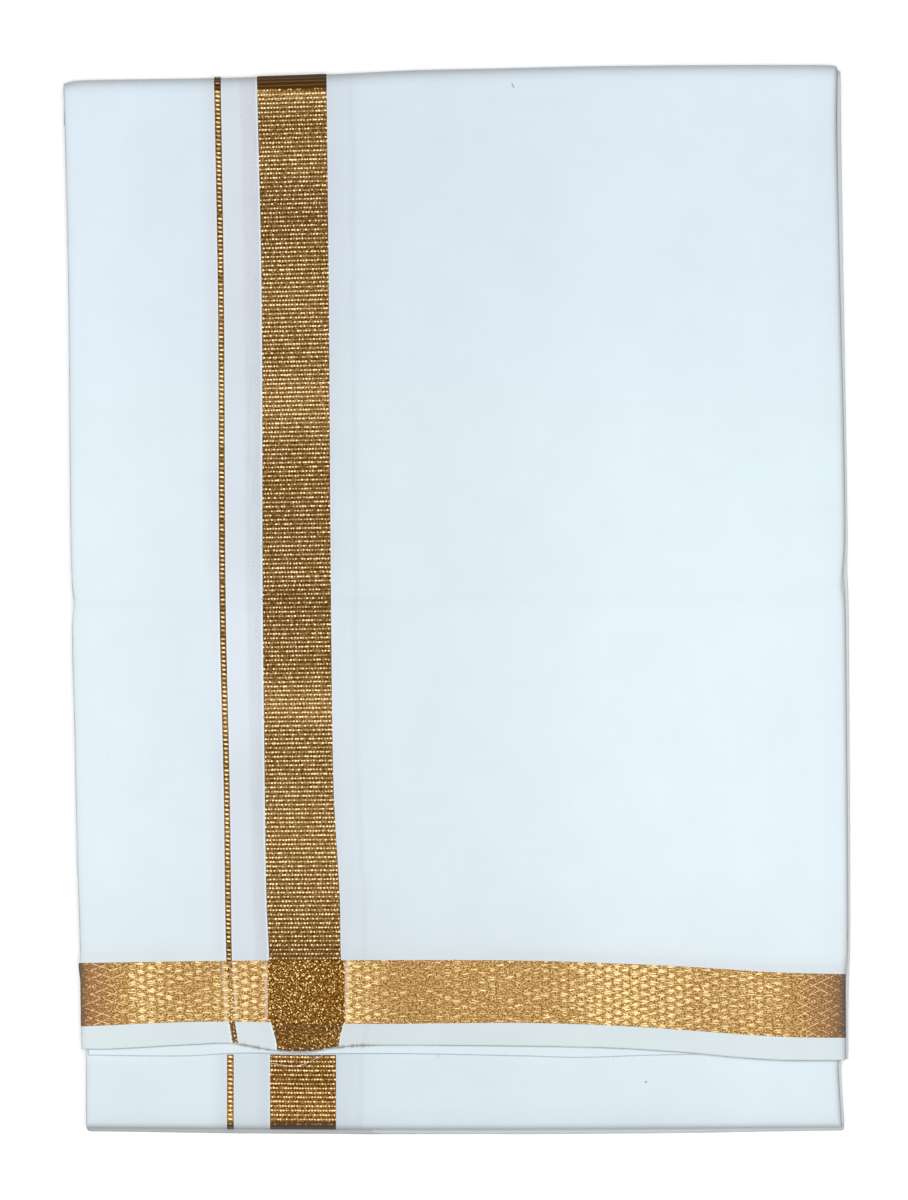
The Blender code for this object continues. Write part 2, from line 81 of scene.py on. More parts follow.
def table(columns, rows):
    """Rows of numbers, with the columns named once for all of them."""
    row = namedtuple("Row", columns)
    return [row(*values) for values in rows]


# ---------------------------------------------------------------- the parcel's own sizes

PLIES_ACROSS = 4
TURNS_ALONG = 8
PLY = 0.375
THICKNESS = PLIES_ACROSS * TURNS_ALONG * PLY

WALL = 1.1
GAP = 0.3
FRONT = Layer(outer=0.0, inner=WALL)
FLAP_UNDER = Layer(outer=FRONT.inner + GAP, inner=FRONT.inner + GAP + WALL)
LOWER = Layer(outer=FLAP_UNDER.inner + GAP, inner=FLAP_UNDER.inner + GAP + WALL)
HIDDEN_DEPTH = LOWER.inner + GAP

SHOULDER = table("inset drop", [(0.0, 1.0), (2.0, 0.55), (6.0, 0.15), (10.0, 0.0)])
CROWN_HEIGHT = 0.8
CROWN_REACH = 110.0

CREASE_AT_LEFT = 0.4
CREASE_SLANT = 0.012

WAVE = "height length angle phase"
WAVE_INSET = 45.0
WAVES = table(WAVE, [(0.14, 150.0, 70.0, 0.6), (0.10, 95.0, 20.0, 2.1), (0.07, 120.0, 130.0, 4.0)])
RIPPLE_INSET = 6.0
RIPPLES = table(
    WAVE,
    [(0.030, 31.0, 12.0, 0.4), (0.026, 43.0, 96.0, 1.9), (0.022, 24.0, 62.0, 3.3), (0.020, 37.0, 140.0, 5.1)],
)

SIDES = table("y left right under_right", [
    (-194.0, -157.3, 163.6, 164.8), (-161.0, -157.6, 163.4, 164.9), (-154.0, -158.3, 163.8, 165.2),
    (-147.0, -157.9, 164.4, 165.5), (-105.0, -159.2, 164.3, 165.5), (-55.0, -160.2, 163.9, 165.2),
    (-10.0, -161.3, 163.4, 164.9), (0.0, -160.5, 163.0, 164.6), (6.0, -161.2, 162.3, 164.3),
    (20.0, -161.7, 163.2, 164.5), (62.0, -162.2, 162.8, 163.9), (126.0, -162.7, 161.2, 162.8),
    (196.0, -164.2, 159.8, 161.7), (220.0, -164.9, 160.0, 161.5),
])
HIDDEN_INSET_LEFT = 1.9
HIDDEN_INSET_RIGHT = 1.8
# How the folded plies spread to the right towards the foot, and how far the lower ply stands back from them.
FOOT_FLARE = 1.6
FOOT_FROM = -196.0
FOOT_FULL = -221.0
LOWER_PLY_BACK = 1.45
LOWER_PLY_FADE = 16.0
UNDER_INSET_LEFT = 1.2
UNDER_INSET_AT_END = 3.0
UNDER_INSET_FROM = -150.0
UNDER_INSET_FULL = -190.0

TOP_FOLD = table("x y", [
    (-165.0, 216.6), (-161.0, 217.7), (-155.0, 218.1), (-100.0, 219.0), (-54.0, 220.5), (-19.0, 222.2),
    (17.0, 223.0), (55.0, 223.9), (102.0, 224.4), (150.0, 224.5), (156.5, 224.4), (159.5, 224.0),
    (162.0, 222.8),
])
FRONT_END = table("x y", [
    (-157.0, -189.0), (-145.0, -189.0), (-110.0, -187.1), (-94.0, -186.7), (-75.0, -189.8), (-62.0, -190.3),
    (-50.0, -188.4), (-40.0, -187.5), (0.0, -187.5), (60.0, -188.4), (94.0, -190.3), (122.0, -192.8),
    (138.0, -193.7), (164.0, -193.8),
])
UNDER_END = table("x y", [
    (-157.0, -191.5), (-114.0, -191.9), (-91.0, -190.7), (-62.0, -191.0), (-23.0, -190.9), (30.0, -191.9),
    (52.0, -192.5), (81.0, -191.6), (120.0, -191.0), (150.0, -192.0), (165.0, -193.4),
])
LOWER_FOLD = table("x y", [(-155.0, -222.1), (0.0, -222.9), (162.0, -222.0)])
BOTTOM = table("x y", [(-156.0, -223.9), (-65.0, -225.0), (60.0, -225.0), (163.0, -223.6)])

TAIL = 12.0
LOWER_FOLD_RADIUS = 2.3
END_GAP = 0.6

GOLD_LINES = table("y border_left border_right line_left line_right", [
    (-223.0, -78.1, -50.4, -96.2, -93.4), (-189.0, -75.2, -49.3, -93.8, -91.3),
    (-178.0, -77.6, -47.4, -95.2, -92.6), (-168.0, -78.7, -46.5, -95.9, -93.3),
    (-151.0, -78.5, -48.3, -96.6, -94.0), (-126.0, -79.6, -48.8, -97.1, -94.3),
    (-79.0, -80.3, -51.4, -97.7, -94.9), (0.0, -81.2, -52.5, -99.5, -96.6),
    (126.0, -81.6, -53.4, -100.1, -97.3), (220.0, -83.6, -54.4, -101.8, -98.7),
])
END_BAND = table("x upper lower", [
    (-157.0, -152.9, -179.5), (-106.0, -152.1, -177.5), (-40.0, -151.7, -178.4), (29.0, -151.9, -178.0),
    (70.0, -153.2, -179.3), (96.0, -154.4, -181.0), (136.0, -156.9, -183.8), (164.0, -157.6, -184.3),
])
CROSSING_LEFT = -78.8
CROSSING_RIGHT = -46.7
GOLD_LAST_DEGREES = 130.0
LOWER_GOLD_LAST_DEGREES = 120.0

# ---------------------------------------------------------------- the finer form of the cloth

# How deep the crease across the middle is, going across, and how wide.
MIDDLE_CREASE = table("x depth width", [
    (-162.0, 0.75, 3.4), (-150.0, 0.42, 2.6), (-110.0, 0.30, 2.4), (-66.0, 0.45, 3.6), (-20.0, 0.26, 2.2),
    (40.0, 0.34, 2.6), (95.0, 0.22, 2.2), (140.0, 0.36, 2.6), (156.0, 0.55, 3.0), (164.0, 0.9, 3.6),
])
# A crease turns up a little towards the right side, as its notch does.
CREASE_RISE_FROM = 120.0
CREASE_RISE_OVER = 45.0
CREASE_RISE = 4.5

# Soft troughs and ridges, each from one end to the other. A ridge has a negative depth.
CREASE_TAPER = 0.7
CREASES = table("x0 y0 x1 y1 width depth", [
    (-24.0, -181.2, 12.0, -182.0, 1.2, 0.16), (-18.0, -184.0, 26.0, -183.6, 1.6, -0.10),
    (-86.0, -184.0, -62.0, -187.5, 1.5, 0.20), (-60.0, -186.8, -38.0, -183.6, 1.4, 0.16),
    (-104.0, -181.8, -88.0, -186.0, 1.6, 0.16), (70.0, -184.6, 150.0, -188.6, 2.4, 0.14),
    (-150.0, -183.8, -112.0, -182.0, 2.2, 0.12), (-37.6, -150.0, -42.0, 205.0, 1.1, 0.07),
    (-60.0, 60.0, 30.0, 84.0, 16.0, 0.10), (20.0, -92.0, 140.0, -70.0, 20.0, -0.12),
    (-150.0, -60.0, -104.0, -96.0, 11.0, 0.08), (60.0, 130.0, 150.0, 170.0, 18.0, 0.10),
    (-140.0, 120.0, -108.0, 190.0, 9.0, -0.07), (-80.0, 212.0, -58.0, 208.0, 3.0, 0.08),
    (-30.0, -204.0, 60.0, -208.0, 6.0, 0.10), (90.0, -200.0, 150.0, -214.0, 7.0, -0.10),
    (-140.0, -206.0, -100.0, -213.0, 5.0, 0.09),
])

# The rim of a wall, from its face to its back: how deep each ring lies in it, and how far it stands back.
RIM = table("share inset ply", [
    (0.06, 0.00, 0), (0.18, -0.04, 0), (0.30, 0.02, 0), (0.34, 0.24, 0), (0.40, 0.10, 1), (0.50, 0.04, 1),
    (0.61, 0.10, 1), (0.66, 0.32, 1), (0.72, 0.16, 2), (0.84, 0.10, 2), (0.95, 0.16, 2),
])
RIM_ROUND = 0.08
# How an edge wanders: the length of each of its waves, and its share of the whole.
EDGE_WAVES = ((67.0, 0.34), (29.0, 0.28), (13.0, 0.22), (5.5, 0.16))
# The rows of a wall close to its edges and beside the crease, and round the folds and on the tails past them.
NEAR_SIDE = (0.0, 0.2, 0.5, 1.0, 1.7, 2.6, 3.8, 5.5, 7.6, 10.0)
TAIL_ROWS = (3.0, 6.0, 9.0, 11.4, TAIL)
LOWER_TAIL_ROWS = (TAIL, 11.4, 8.0, 4.0)
ABOVE_CREASE = (0.5, 1.0, 1.6, 2.3, 3.1, 4.1, 5.4, 7.0, 9.0)
NEAR_CREASE = (*(-step for step in reversed(ABOVE_CREASE)), 0.0, *ABOVE_CREASE)

# The hidden stack's lips, from the surface up, and how each side of a turn of four plies is shaped.
UNDER_LIPS = table("base top side end plies", [
    (0.0, 1.25, 0.5, 0.6, 3), (1.25, 2.65, 0.0, 0.0, 4), (2.65, 4.15, 0.4, 0.3, 4),
])
CORE_LIPS = table("base top side end plies", [(4.3, 5.95, 0.2, 0.0, 4), (6.1, 7.8, 0.0, 0.0, 4)])
# One ply's edge, from its underside to its top: (share of its height, how far it stands back).
PLY_EDGE = ((0.04, 0.26), (0.2, 0.07), (0.5, 0.0), (0.8, 0.07), (0.96, 0.26))
FOLDED_SIDE = (0.28, 0.05, 0.0, 0.24)
OPEN_SIDE = (0.02, 0.12, 0.42, 0.22)
FOLDED_END = (0.34, 0.06, 0.0, 0.30)
GROUP_GROOVE = 0.45
CAP_SINK = 0.4
CAP_INSETS = (1.6, 25.0, 60.0, 110.0)
CORNER = 1.3
CORNER_STEPS = 6
# How far the plies' edges wander, with other waves on the right and at the end than on the left.
EDGE_WANDER = 0.22
RIGHT_SEED = 40
END_SEED = 80
# The shares across and up the stack where its outline has points.
STACK_ACROSS = np.linspace(0.01, 0.99, 66)
STACK_UP = np.linspace(0.01, 0.99, 100)

# Loose threads at the front's cut end: the points of each, and how far it stands off the ply below.
THREADS = [
    ((-78.3, -194.9), (-73.1, -195.8), (-68.3, -196.3), (-63.4, -195.2), (-58.8, -193.0), (-56.2, -191.8)),
    ((-8.2, -190.2), (-7.4, -191.2), (-7.8, -192.4), (-6.2, -193.1)),
]
THREAD_RADIUS = 0.11
THREAD_STEPS = 6
THREAD_LIFT = 0.35
THREAD_BOW = 0.25
YARN_SIDES = 6
# They take the painted edge shade that the cloth has so far in from its side.
THREAD_SHADE = 1.6

# The cloth coordinates start from here, so that none is below 0. What isn't near an edge counts as far away.
UV_SHIFT = 0.25
FAR_AWAY = 300.0
# The plies under the front are as bright at their end as the front is this far above the band.
UNDER_END_WHITENESS = 24.0


def read_table(rows, key, column, at):
    """A column of a table at places on its key column, smooth through the rows and level past the ends."""
    keys = np.array([getattr(row, key) for row in rows])
    values = np.array([getattr(row, column) for row in rows])
    low = np.maximum(np.arange(len(keys)) - 1, 0)
    high = np.minimum(np.arange(len(keys)) + 1, len(keys) - 1)
    slopes = (values[high] - values[low]) / (keys[high] - keys[low])
    at = np.clip(np.asarray(at, float), keys[0], keys[-1])
    i = np.clip(np.searchsorted(keys, at, side="right") - 1, 0, len(keys) - 2)
    span = keys[i + 1] - keys[i]
    t = (at - keys[i]) / span
    start = (1 + 2 * t) * (1 - t) ** 2 * values[i] + t * (1 - t) ** 2 * span * slopes[i]
    return start + t * t * (3 - 2 * t) * values[i + 1] - t * t * (1 - t) * span * slopes[i + 1]


left_side, right_side, parcel_right = (
    partial(read_table, SIDES, "y", column) for column in ("left", "right", "under_right")
)
top_fold, lower_fold, front_end, under_end, bottom_line = (
    partial(read_table, rows, "x", "y") for rows in (TOP_FOLD, LOWER_FOLD, FRONT_END, UNDER_END, BOTTOM)
)
band_upper, band_lower = (partial(read_table, END_BAND, "x", column) for column in ("upper", "lower"))
border_left, border_right, line_left, line_right = (
    partial(read_table, GOLD_LINES, "y", column) for column in GOLD_LINES[0]._fields[1:]
)


def hidden_left(y):
    return left_side(y) + HIDDEN_INSET_LEFT


def hidden_right(y):
    flare = np.clip((FOOT_FROM - np.asarray(y, float)) / (FOOT_FROM - FOOT_FULL), 0.0, 1.0)
    return right_side(y) - HIDDEN_INSET_RIGHT + FOOT_FLARE * flare


def lower_right(y):
    back = np.clip((FOOT_FROM + LOWER_PLY_FADE - np.asarray(y, float)) / LOWER_PLY_FADE, 0.0, 1.0)
    return hidden_right(y) - LOWER_PLY_BACK * back


def under_left(y):
    near_end = np.clip((UNDER_INSET_FROM - y) / (UNDER_INSET_FROM - UNDER_INSET_FULL), 0.0, 1.0)
    return left_side(y) + UNDER_INSET_LEFT + (UNDER_INSET_AT_END - UNDER_INSET_LEFT) * near_end


def crease_line(x):
    slant = CREASE_AT_LEFT + CREASE_SLANT * (x - left_side(0.0))
    return slant + CREASE_RISE * np.clip((x - CREASE_RISE_FROM) / CREASE_RISE_OVER, 0.0, 1.0) ** 2


def wave_height(wave, x, y):
    angle = math.radians(wave.angle)
    along = x * math.cos(angle) + y * math.sin(angle)
    return wave.height * np.sin(2 * math.pi * along / wave.length + wave.phase)


def crease_depth(crease, x, y):
    """A trough with a soft bell section, which dies away towards both its ends."""
    run = np.array([crease.x1 - crease.x0, crease.y1 - crease.y0])
    length = np.hypot(*run)
    along = ((x - crease.x0) * run[0] + (y - crease.y0) * run[1]) / length**2
    off = ((x - crease.x0) * run[1] - (y - crease.y0) * run[0]) / length
    taper = np.sin(math.pi * np.clip(along, 0.0, 1.0)) ** CREASE_TAPER
    return crease.depth * taper * np.exp(-((off / crease.width) ** 2))


def ease(share):
    share = np.clip(share, 0.0, 1.0)
    return share * (2 - share)


def shoulder_drop(distance):
    return read_table(SHOULDER, "inset", "drop", np.maximum(distance, 0.0))


def thickness_at(x, y):
    """How thick the stack is, from the surface it lies on to the front ply's face."""
    side = np.minimum(x - left_side(y), parcel_right(y) - x)
    end = y - bottom_line(x)
    top = top_fold(x) - y
    swell = CROWN_HEIGHT * ease(side / CROWN_REACH) * ease(end / CROWN_REACH) * ease(top / CROWN_REACH)
    inland = ease(np.minimum(side, end) / WAVE_INSET)
    waves = sum(wave_height(wave, x, y) for wave in WAVES) * inland
    ripples = sum(wave_height(wave, x, y) for wave in RIPPLES) * ease(np.minimum(side, end) / RIPPLE_INSET)
    off = (y - crease_line(x)) / read_table(MIDDLE_CREASE, "x", "width", x)
    crease = read_table(MIDDLE_CREASE, "x", "depth", x) * np.exp(-(off**2))
    crease = crease + sum(crease_depth(crease_, x, y) for crease_ in CREASES)
    shoulder = 1 - (1 - shoulder_drop(side)) * (1 - shoulder_drop(end))
    return THICKNESS + swell + waves + ripples - crease - shoulder


def fold_radius(x):
    return thickness_at(x, top_fold(x) - THICKNESS / 2) / 2


def fold_row(x, degrees):
    """The place on the unrolled front that lies so far round the top fold."""
    radius = fold_radius(x)
    return top_fold(x) - radius + radius * math.radians(degrees)


def lower_fold_row(x, degrees):
    return lower_fold(x) + LOWER_FOLD_RADIUS - LOWER_FOLD_RADIUS * math.radians(degrees)


def place(x, v, depth):
    """Points at x and v on the unrolled front, and depth in from its face, also past the top fold."""
    x, v, depth = np.broadcast_arrays(np.asarray(x, float), np.asarray(v, float), np.asarray(depth, float))
    radius = fold_radius(x)
    fold = top_fold(x) - radius
    level = np.minimum(v, fold)
    full = thickness_at(x, level)
    full = full + (2 * radius - full) * np.clip(1 - (fold - level) / THICKNESS, 0.0, 1.0)
    inner = radius * (1 - 2 * depth / THICKNESS)
    turn = np.clip((v - fold) / radius, 0.0, math.pi)
    beyond = np.maximum(v - fold - math.pi * radius, 0.0)
    y = level + inner * np.sin(turn) - beyond
    z = np.where(v <= fold, full * (1 - depth / THICKNESS), radius + inner * np.cos(turn))
    return np.stack([x, y, z], axis=-1)


def place_lower(x, v, depth):
    """The same for the lower ply, which also turns round the bottom fold."""
    x, v, depth = np.broadcast_arrays(np.asarray(x, float), np.asarray(v, float), np.asarray(depth, float))
    fold = lower_fold(x) + LOWER_FOLD_RADIUS
    above = place(x, np.maximum(v, fold), depth)
    full = thickness_at(x, fold)
    scale = full / THICKNESS
    inner = LOWER_FOLD_RADIUS - (depth - LOWER.outer) * scale
    centre = full - LOWER.outer * scale - LOWER_FOLD_RADIUS
    turn = np.clip((fold - v) / LOWER_FOLD_RADIUS, 0.0, math.pi)
    beyond = np.maximum(fold - v - math.pi * LOWER_FOLD_RADIUS, 0.0)
    under = np.stack([x, fold - inner * np.sin(turn) + beyond, centre + inner * np.cos(turn)], axis=-1)
    return np.where((v >= fold)[..., None], above, under)


def uneven(along, number):
    """A smooth, irregular run from about 0 to 1 along an edge, different for each number."""
    total = 0.0
    for step, (length, share) in enumerate(EDGE_WAVES):
        phase = 1.7 * number + 2.3 * step + 0.9 * number * step
        total = total + share * np.sin(2 * math.pi * along / length + phase)
    return 0.5 + 0.5 * total


# ---------------------------------------------------------------- meshes


def grid_faces(rows, columns, start=0):
    """The four corners of every face of a grid of points."""
    index = np.arange(rows * columns).reshape(rows, columns) + start
    return np.stack([index[:-1, :-1], index[:-1, 1:], index[1:, 1:], index[1:, :-1]], axis=-1).reshape(-1, 4)


def new_mesh(name, points, faces, attributes, uv_name=None, uv=None):
    """A smooth mesh from points in millimetres, with a value or a vector at each point for each attribute."""
    mesh = bpy.data.meshes.new(name)
    mesh.from_pydata((np.asarray(points) * MM).tolist(), [], faces)
    if uv_name:
        corners = np.empty(len(mesh.loops), dtype=np.int32)
        mesh.loops.foreach_get("vertex_index", corners)
        layer = mesh.uv_layers.new(name=uv_name)
        layer.data.foreach_set("uv", np.asarray(uv)[corners].astype(np.float32).ravel())
    for label, values in attributes.items():
        values = np.asarray(values, dtype=np.float32)
        kind, field = ("FLOAT", "value") if values.ndim == 1 else ("FLOAT_VECTOR", "vector")
        mesh.attributes.new(label, kind, "POINT").data.foreach_set(field, values.ravel())
    mesh.shade_smooth()
    return mesh


def new_piece(name, points, faces, material, spots, attributes):
    """An object at the origin, with its places on the unrolled cloth as its cloth coordinates."""
    mesh = new_mesh(name, points, faces, attributes, "cloth", np.asarray(spots) * MM + UV_SHIFT)
    if mesh.validate(clean_customdata=False):
        raise RuntimeError(f"{name}: the mesh had faces that can't be")
    mesh.materials.append(material)
    piece = bpy.data.objects.new(name, mesh)
    bpy.context.scene.collection.objects.link(piece)
    return piece


def perimeter(rows, columns):
    """The grid indices round its edge, anticlockwise, and the way in from each."""
    first = [(0, j, int(j == 0) - int(j == columns - 1), 1) for j in range(columns)]
    right = [(i, columns - 1, -1, -int(i == rows - 1)) for i in range(1, rows)]
    last = [(rows - 1, j, int(j == 0), -1) for j in range(columns - 2, -1, -1)]
    left = [(i, 0, 1, 0) for i in range(rows - 2, 0, -1)]
    return np.array(first + right + last + left)


def make_wall(name, x, v, put, layer, seed, ragged, material, attributes):
    """A closed wall on a grid of places on the unrolled cloth, with the edges of its plies round its rim."""
    rows, columns = x.shape
    around = perimeter(rows, columns)
    rim = np.zeros_like(x)
    rim[around[:, 0], around[:, 1]] = RIM_ROUND
    outer = put(x, v, layer.outer + rim)
    inner = put(x, v, layer.inner)
    at = (around[:, 0], around[:, 1])
    edge_x, edge_v = x[at], v[at]
    along = edge_x + edge_v
    at_ends = np.abs(around[:, 3]) > 0
    points = [outer.reshape(-1, 3)]
    spots = [np.stack([x.ravel(), v.ravel()], axis=1)]
    loops = [around[:, 0] * columns + around[:, 1]]
    count = rows * columns
    for ring in RIM:
        reach = np.where(at_ends, ragged, 0.5 * ragged)
        back = ring.inset + reach * uneven(along, seed + ring.ply)
        ring_x = edge_x + around[:, 2] * back
        ring_v = edge_v + around[:, 3] * back
        points.append(put(ring_x, ring_v, layer.outer + ring.share * WALL))
        spots.append(np.stack([ring_x, ring_v], axis=1))
        loops.append(np.arange(count, count + len(around)))
        count += len(around)
    points.append(inner.reshape(-1, 3))
    spots.append(spots[0])
    loops.append(count + loops[0])
    quads = grid_faces(rows, columns)
    faces = quads.tolist() + (quads[:, ::-1] + count).tolist()
    for high, low in zip(loops, loops[1:]):
        faces += np.stack([high, low, np.roll(low, -1), np.roll(high, -1)], axis=1).tolist()
    spots = np.concatenate(spots)
    return new_piece(name, np.concatenate(points), faces, material, spots, attributes(spots))


def cloth_attributes(spots):
    """Where each place lies beside the gold, and in from the sides, the end and the top fold."""
    x, v = spots[:, 0], spots[:, 1]
    level = np.minimum(v, top_fold(x))
    beside = [x - border_left(v), x - border_right(v), v - band_upper(x)]
    side = np.minimum(x - left_side(level), right_side(level) - x)
    inset = np.stack([side, v - front_end(x), fold_row(x, 90) - v], axis=1)
    line, foot = x - line_right(v), FAR_AWAY + 0 * x
    return {"beside": np.stack(beside, axis=1), "inset": inset, "line": line, "foot": foot}


def under_attributes(spots):
    """The same for the plies under the front, which have no gold of their own at their end."""
    values = cloth_attributes(spots)
    values["beside"][:, :2] = FAR_AWAY
    values["beside"][:, 2] = UNDER_END_WHITENESS
    values["line"] = FAR_AWAY + 0 * values["line"]
    return values


def lower_attributes(spots):
    """The same for the lower ply, which has no end band but turns round the bottom fold."""
    x, v = spots[:, 0], spots[:, 1]
    level = np.clip(v, lower_fold(x), top_fold(x))
    values = cloth_attributes(spots)
    gold = GOLD_LINES[0]
    values["beside"] = np.stack([x - gold.border_left, x - gold.border_right, FAR_AWAY + 0 * x], axis=1)
    values["line"] = x - gold.line_right
    values["inset"][:, 0] = np.minimum(x - hidden_left(level), lower_right(level) - x)
    values["foot"] = v - lower_fold_row(x, 90)
    return values


def between(low, high, count):
    """Rows at even shares from one place to another, which both follow x, without the last."""
    return [lambda x, s=k / count: low(x) * (1 - s) + high(x) * s for k in range(count)]


def wall_grid(rows, left, right, middle):
    """The grid of a wall: x across each row, close together near its sides, and the places v of its rows."""
    near = np.array(NEAR_SIDE)
    xs, vs = [], []
    for row in rows:
        level = float(np.clip(row(0.0), BOTTOM[0].y, top_fold(0.0)))
        start, stop = float(left(level)), float(right(level))
        inner = np.linspace(start + near[-1], stop - near[-1], middle)
        x = np.concatenate([start + near[:-1], inner, stop - near[-2::-1]])
        xs.append(x)
        vs.append(row(x) + 0.0 * x)
    return np.array(xs), np.array(vs)


def rows_up_the_front(start, below, above):
    """Rows from near a wall's lower end up to the top fold, with more of them at the crease."""
    rows = between(start, lambda x: crease_line(x) + NEAR_CREASE[0], below)
    rows += [lambda x, s=s: crease_line(x) + s for s in NEAR_CREASE[:-1]]
    rows += between(lambda x: crease_line(x) + NEAR_CREASE[-1], lambda x: fold_row(x, 0), above)
    rows += [lambda x, degrees=degrees: fold_row(x, degrees) for degrees in range(0, 181, 10)]
    rows += [lambda x, s=s: fold_row(x, 180) + s for s in TAIL_ROWS]
    return rows


def rows_from_end(end, below, above):
    rows = [lambda x, s=s: end(x) + s for s in NEAR_SIDE[:-1]]
    return rows + rows_up_the_front(lambda x: end(x) + NEAR_SIDE[-1], below, above)


def make_front_cloth(material):
    x, v = wall_grid(rows_from_end(front_end, 62, 72), left_side, right_side, 104)
    return make_wall("front_cloth", x, v, place, FRONT, 3, 0.10, material, cloth_attributes)


def make_flap_under_cloth(material):
    x, v = wall_grid(rows_from_end(under_end, 30, 34), under_left, parcel_right, 60)
    return make_wall("flap_under_cloth", x, v, place, FLAP_UNDER, 7, 0.22, material, under_attributes)


def make_lower_cloth(material):
    rows = [lambda x, s=s: lower_fold_row(x, 180) - s for s in LOWER_TAIL_ROWS]
    rows += [lambda x, degrees=degrees: lower_fold_row(x, degrees) for degrees in range(180, 0, -12)]
    rows += rows_up_the_front(lambda x: lower_fold_row(x, 0), 50, 34)
    x, v = wall_grid(rows, hidden_left, lower_right, 72)
    return make_wall("lower_cloth", x, v, place_lower, LOWER, 11, 0.16, material, lower_attributes)


def stack_levels():
    """The rings round the hidden stack, from the surface up: height, how far back it stands, both ends."""
    tail_end = TAIL + END_GAP
    beside_tail = LOWER_FOLD_RADIUS + TAIL + GAP
    inside_fold = WALL + GAP
    levels = []
    number = 0
    for lip in UNDER_LIPS + CORE_LIPS:
        height = (lip.top - lip.base) / lip.plies
        for ply in range(lip.plies):
            number += 1
            shape = ply if lip.plies == 4 else ply + 1
            for share, back in PLY_EDGE:
                grooved = (ply == 0 and share < 0.1) or (ply == lip.plies - 1 and share > 0.9)
                back = GROUP_GROOVE if grooved else back
                right = lip.side + FOLDED_SIDE[shape] + back
                left = lip.side + OPEN_SIDE[shape] + back
                if lip in UNDER_LIPS:
                    bottom = lambda x, s=lip.end + FOLDED_END[shape] + back: bottom_line(x) + s
                    top = lambda x, s=tail_end + back: top_fold(x) - THICKNESS / 2 - s
                else:
                    inset = beside_tail if lip is CORE_LIPS[0] else inside_fold
                    bottom = lambda x, s=inset + back: lower_fold(x) + s
                    radius = THICKNESS / 2 - HIDDEN_DEPTH
                    off = lip.base + (ply + share) * height - THICKNESS / 2
                    reach = math.sqrt(max(radius**2 - off**2, 0.0))
                    top = lambda x, s=reach: top_fold(x) - THICKNESS / 2 + s
                levels.append((lip.base + (ply + share) * height, left, right, bottom, top, number))
    levels[0] = (0.0, *levels[0][1:])
    cap = CORE_LIPS[-1].top - CAP_SINK
    levels.pop()
    for inset in CAP_INSETS:
        bottom = lambda x, s=inside_fold + inset: lower_fold(x) + s
        top = lambda x, s=inset: top_fold(x) - THICKNESS / 2 - s
        levels.append((cap, inset, inset, bottom, top, number))
    return levels


def stack_ring(level):
    """One ring: the bottom end, the right side, the top end and the left side, with rounded corners."""
    height, back_left, back_right, bottom, top, number = level
    wander = EDGE_WANDER if height < CORE_LIPS[-1].top - CAP_SINK else 0.0
    left = lambda y: hidden_left(y) + back_left + wander * uneven(y, number)
    right = lambda y: hidden_right(y) - back_right - wander * uneven(y, number + RIGHT_SEED)
    low_end = lambda x: bottom(x) + wander * uneven(x, number + END_SEED)
    low, high = bottom(0.0) + CORNER, top(0.0) - CORNER
    xs, top_xs = (left(y) + CORNER + (right(y) - left(y) - 2 * CORNER) * STACK_ACROSS for y in (low, high))
    top_xs = top_xs[::-1]
    ys = low + (high - low) * STACK_UP
    down = ys[::-1]
    flat = np.concatenate([
        np.stack([xs, low_end(xs)], axis=1), stack_corner(right(low), low_end, 1, -1),
        np.stack([right(ys), ys], axis=1), stack_corner(right(high), top, 1, 1),
        np.stack([top_xs, top(top_xs)], axis=1), stack_corner(left(high), top, -1, 1),
        np.stack([left(down), down], axis=1), stack_corner(left(low), low_end, -1, -1),
    ])
    return np.column_stack([flat, height / THICKNESS * thickness_at(flat[:, 0], flat[:, 1])])


def stack_corner(edge_x, end, side, way):
    centre_x = edge_x - side * CORNER
    centre_y = end(centre_x) - way * CORNER
    angles = np.radians(np.linspace(0, 90, CORNER_STEPS))
    if side != way:
        angles = angles[::-1]
    corner_x = centre_x + side * CORNER * np.cos(angles)
    return np.stack([corner_x, centre_y + way * CORNER * np.sin(angles)], axis=1)


def make_folded_cloth(material):
    """The hidden plies in one stack, with every ply's edge at its sides and its lower end."""
    rings = [stack_ring(level) for level in stack_levels()]
    size = len(rings[0])
    faces = [list(range(size))[::-1]]
    for number in range(len(rings) - 1):
        low = np.arange(size) + number * size
        high = low + size
        faces += np.stack([low, np.roll(low, -1), np.roll(high, -1), high], axis=1).tolist()
    faces.append(list(range((len(rings) - 1) * size, len(rings) * size)))
    points = np.concatenate(rings)
    spots = np.stack([points[:, 0] + 9 * points[:, 2], points[:, 1] + 7 * points[:, 2]], axis=1)
    attributes = plain_attributes(points)
    # The hidden plies show only at the parcel's sides, so they take the full painted edge shade.
    attributes["inset"][:, 0] = -1.0
    return new_piece("folded_cloth", points, faces, material, spots, attributes)


def plain_attributes(points):
    """The attributes of cotton that no border or edge is near."""
    away = np.full((len(points), 3), FAR_AWAY)
    return {"beside": away, "inset": away.copy(), "line": away[:, 0], "foot": away[:, 0]}


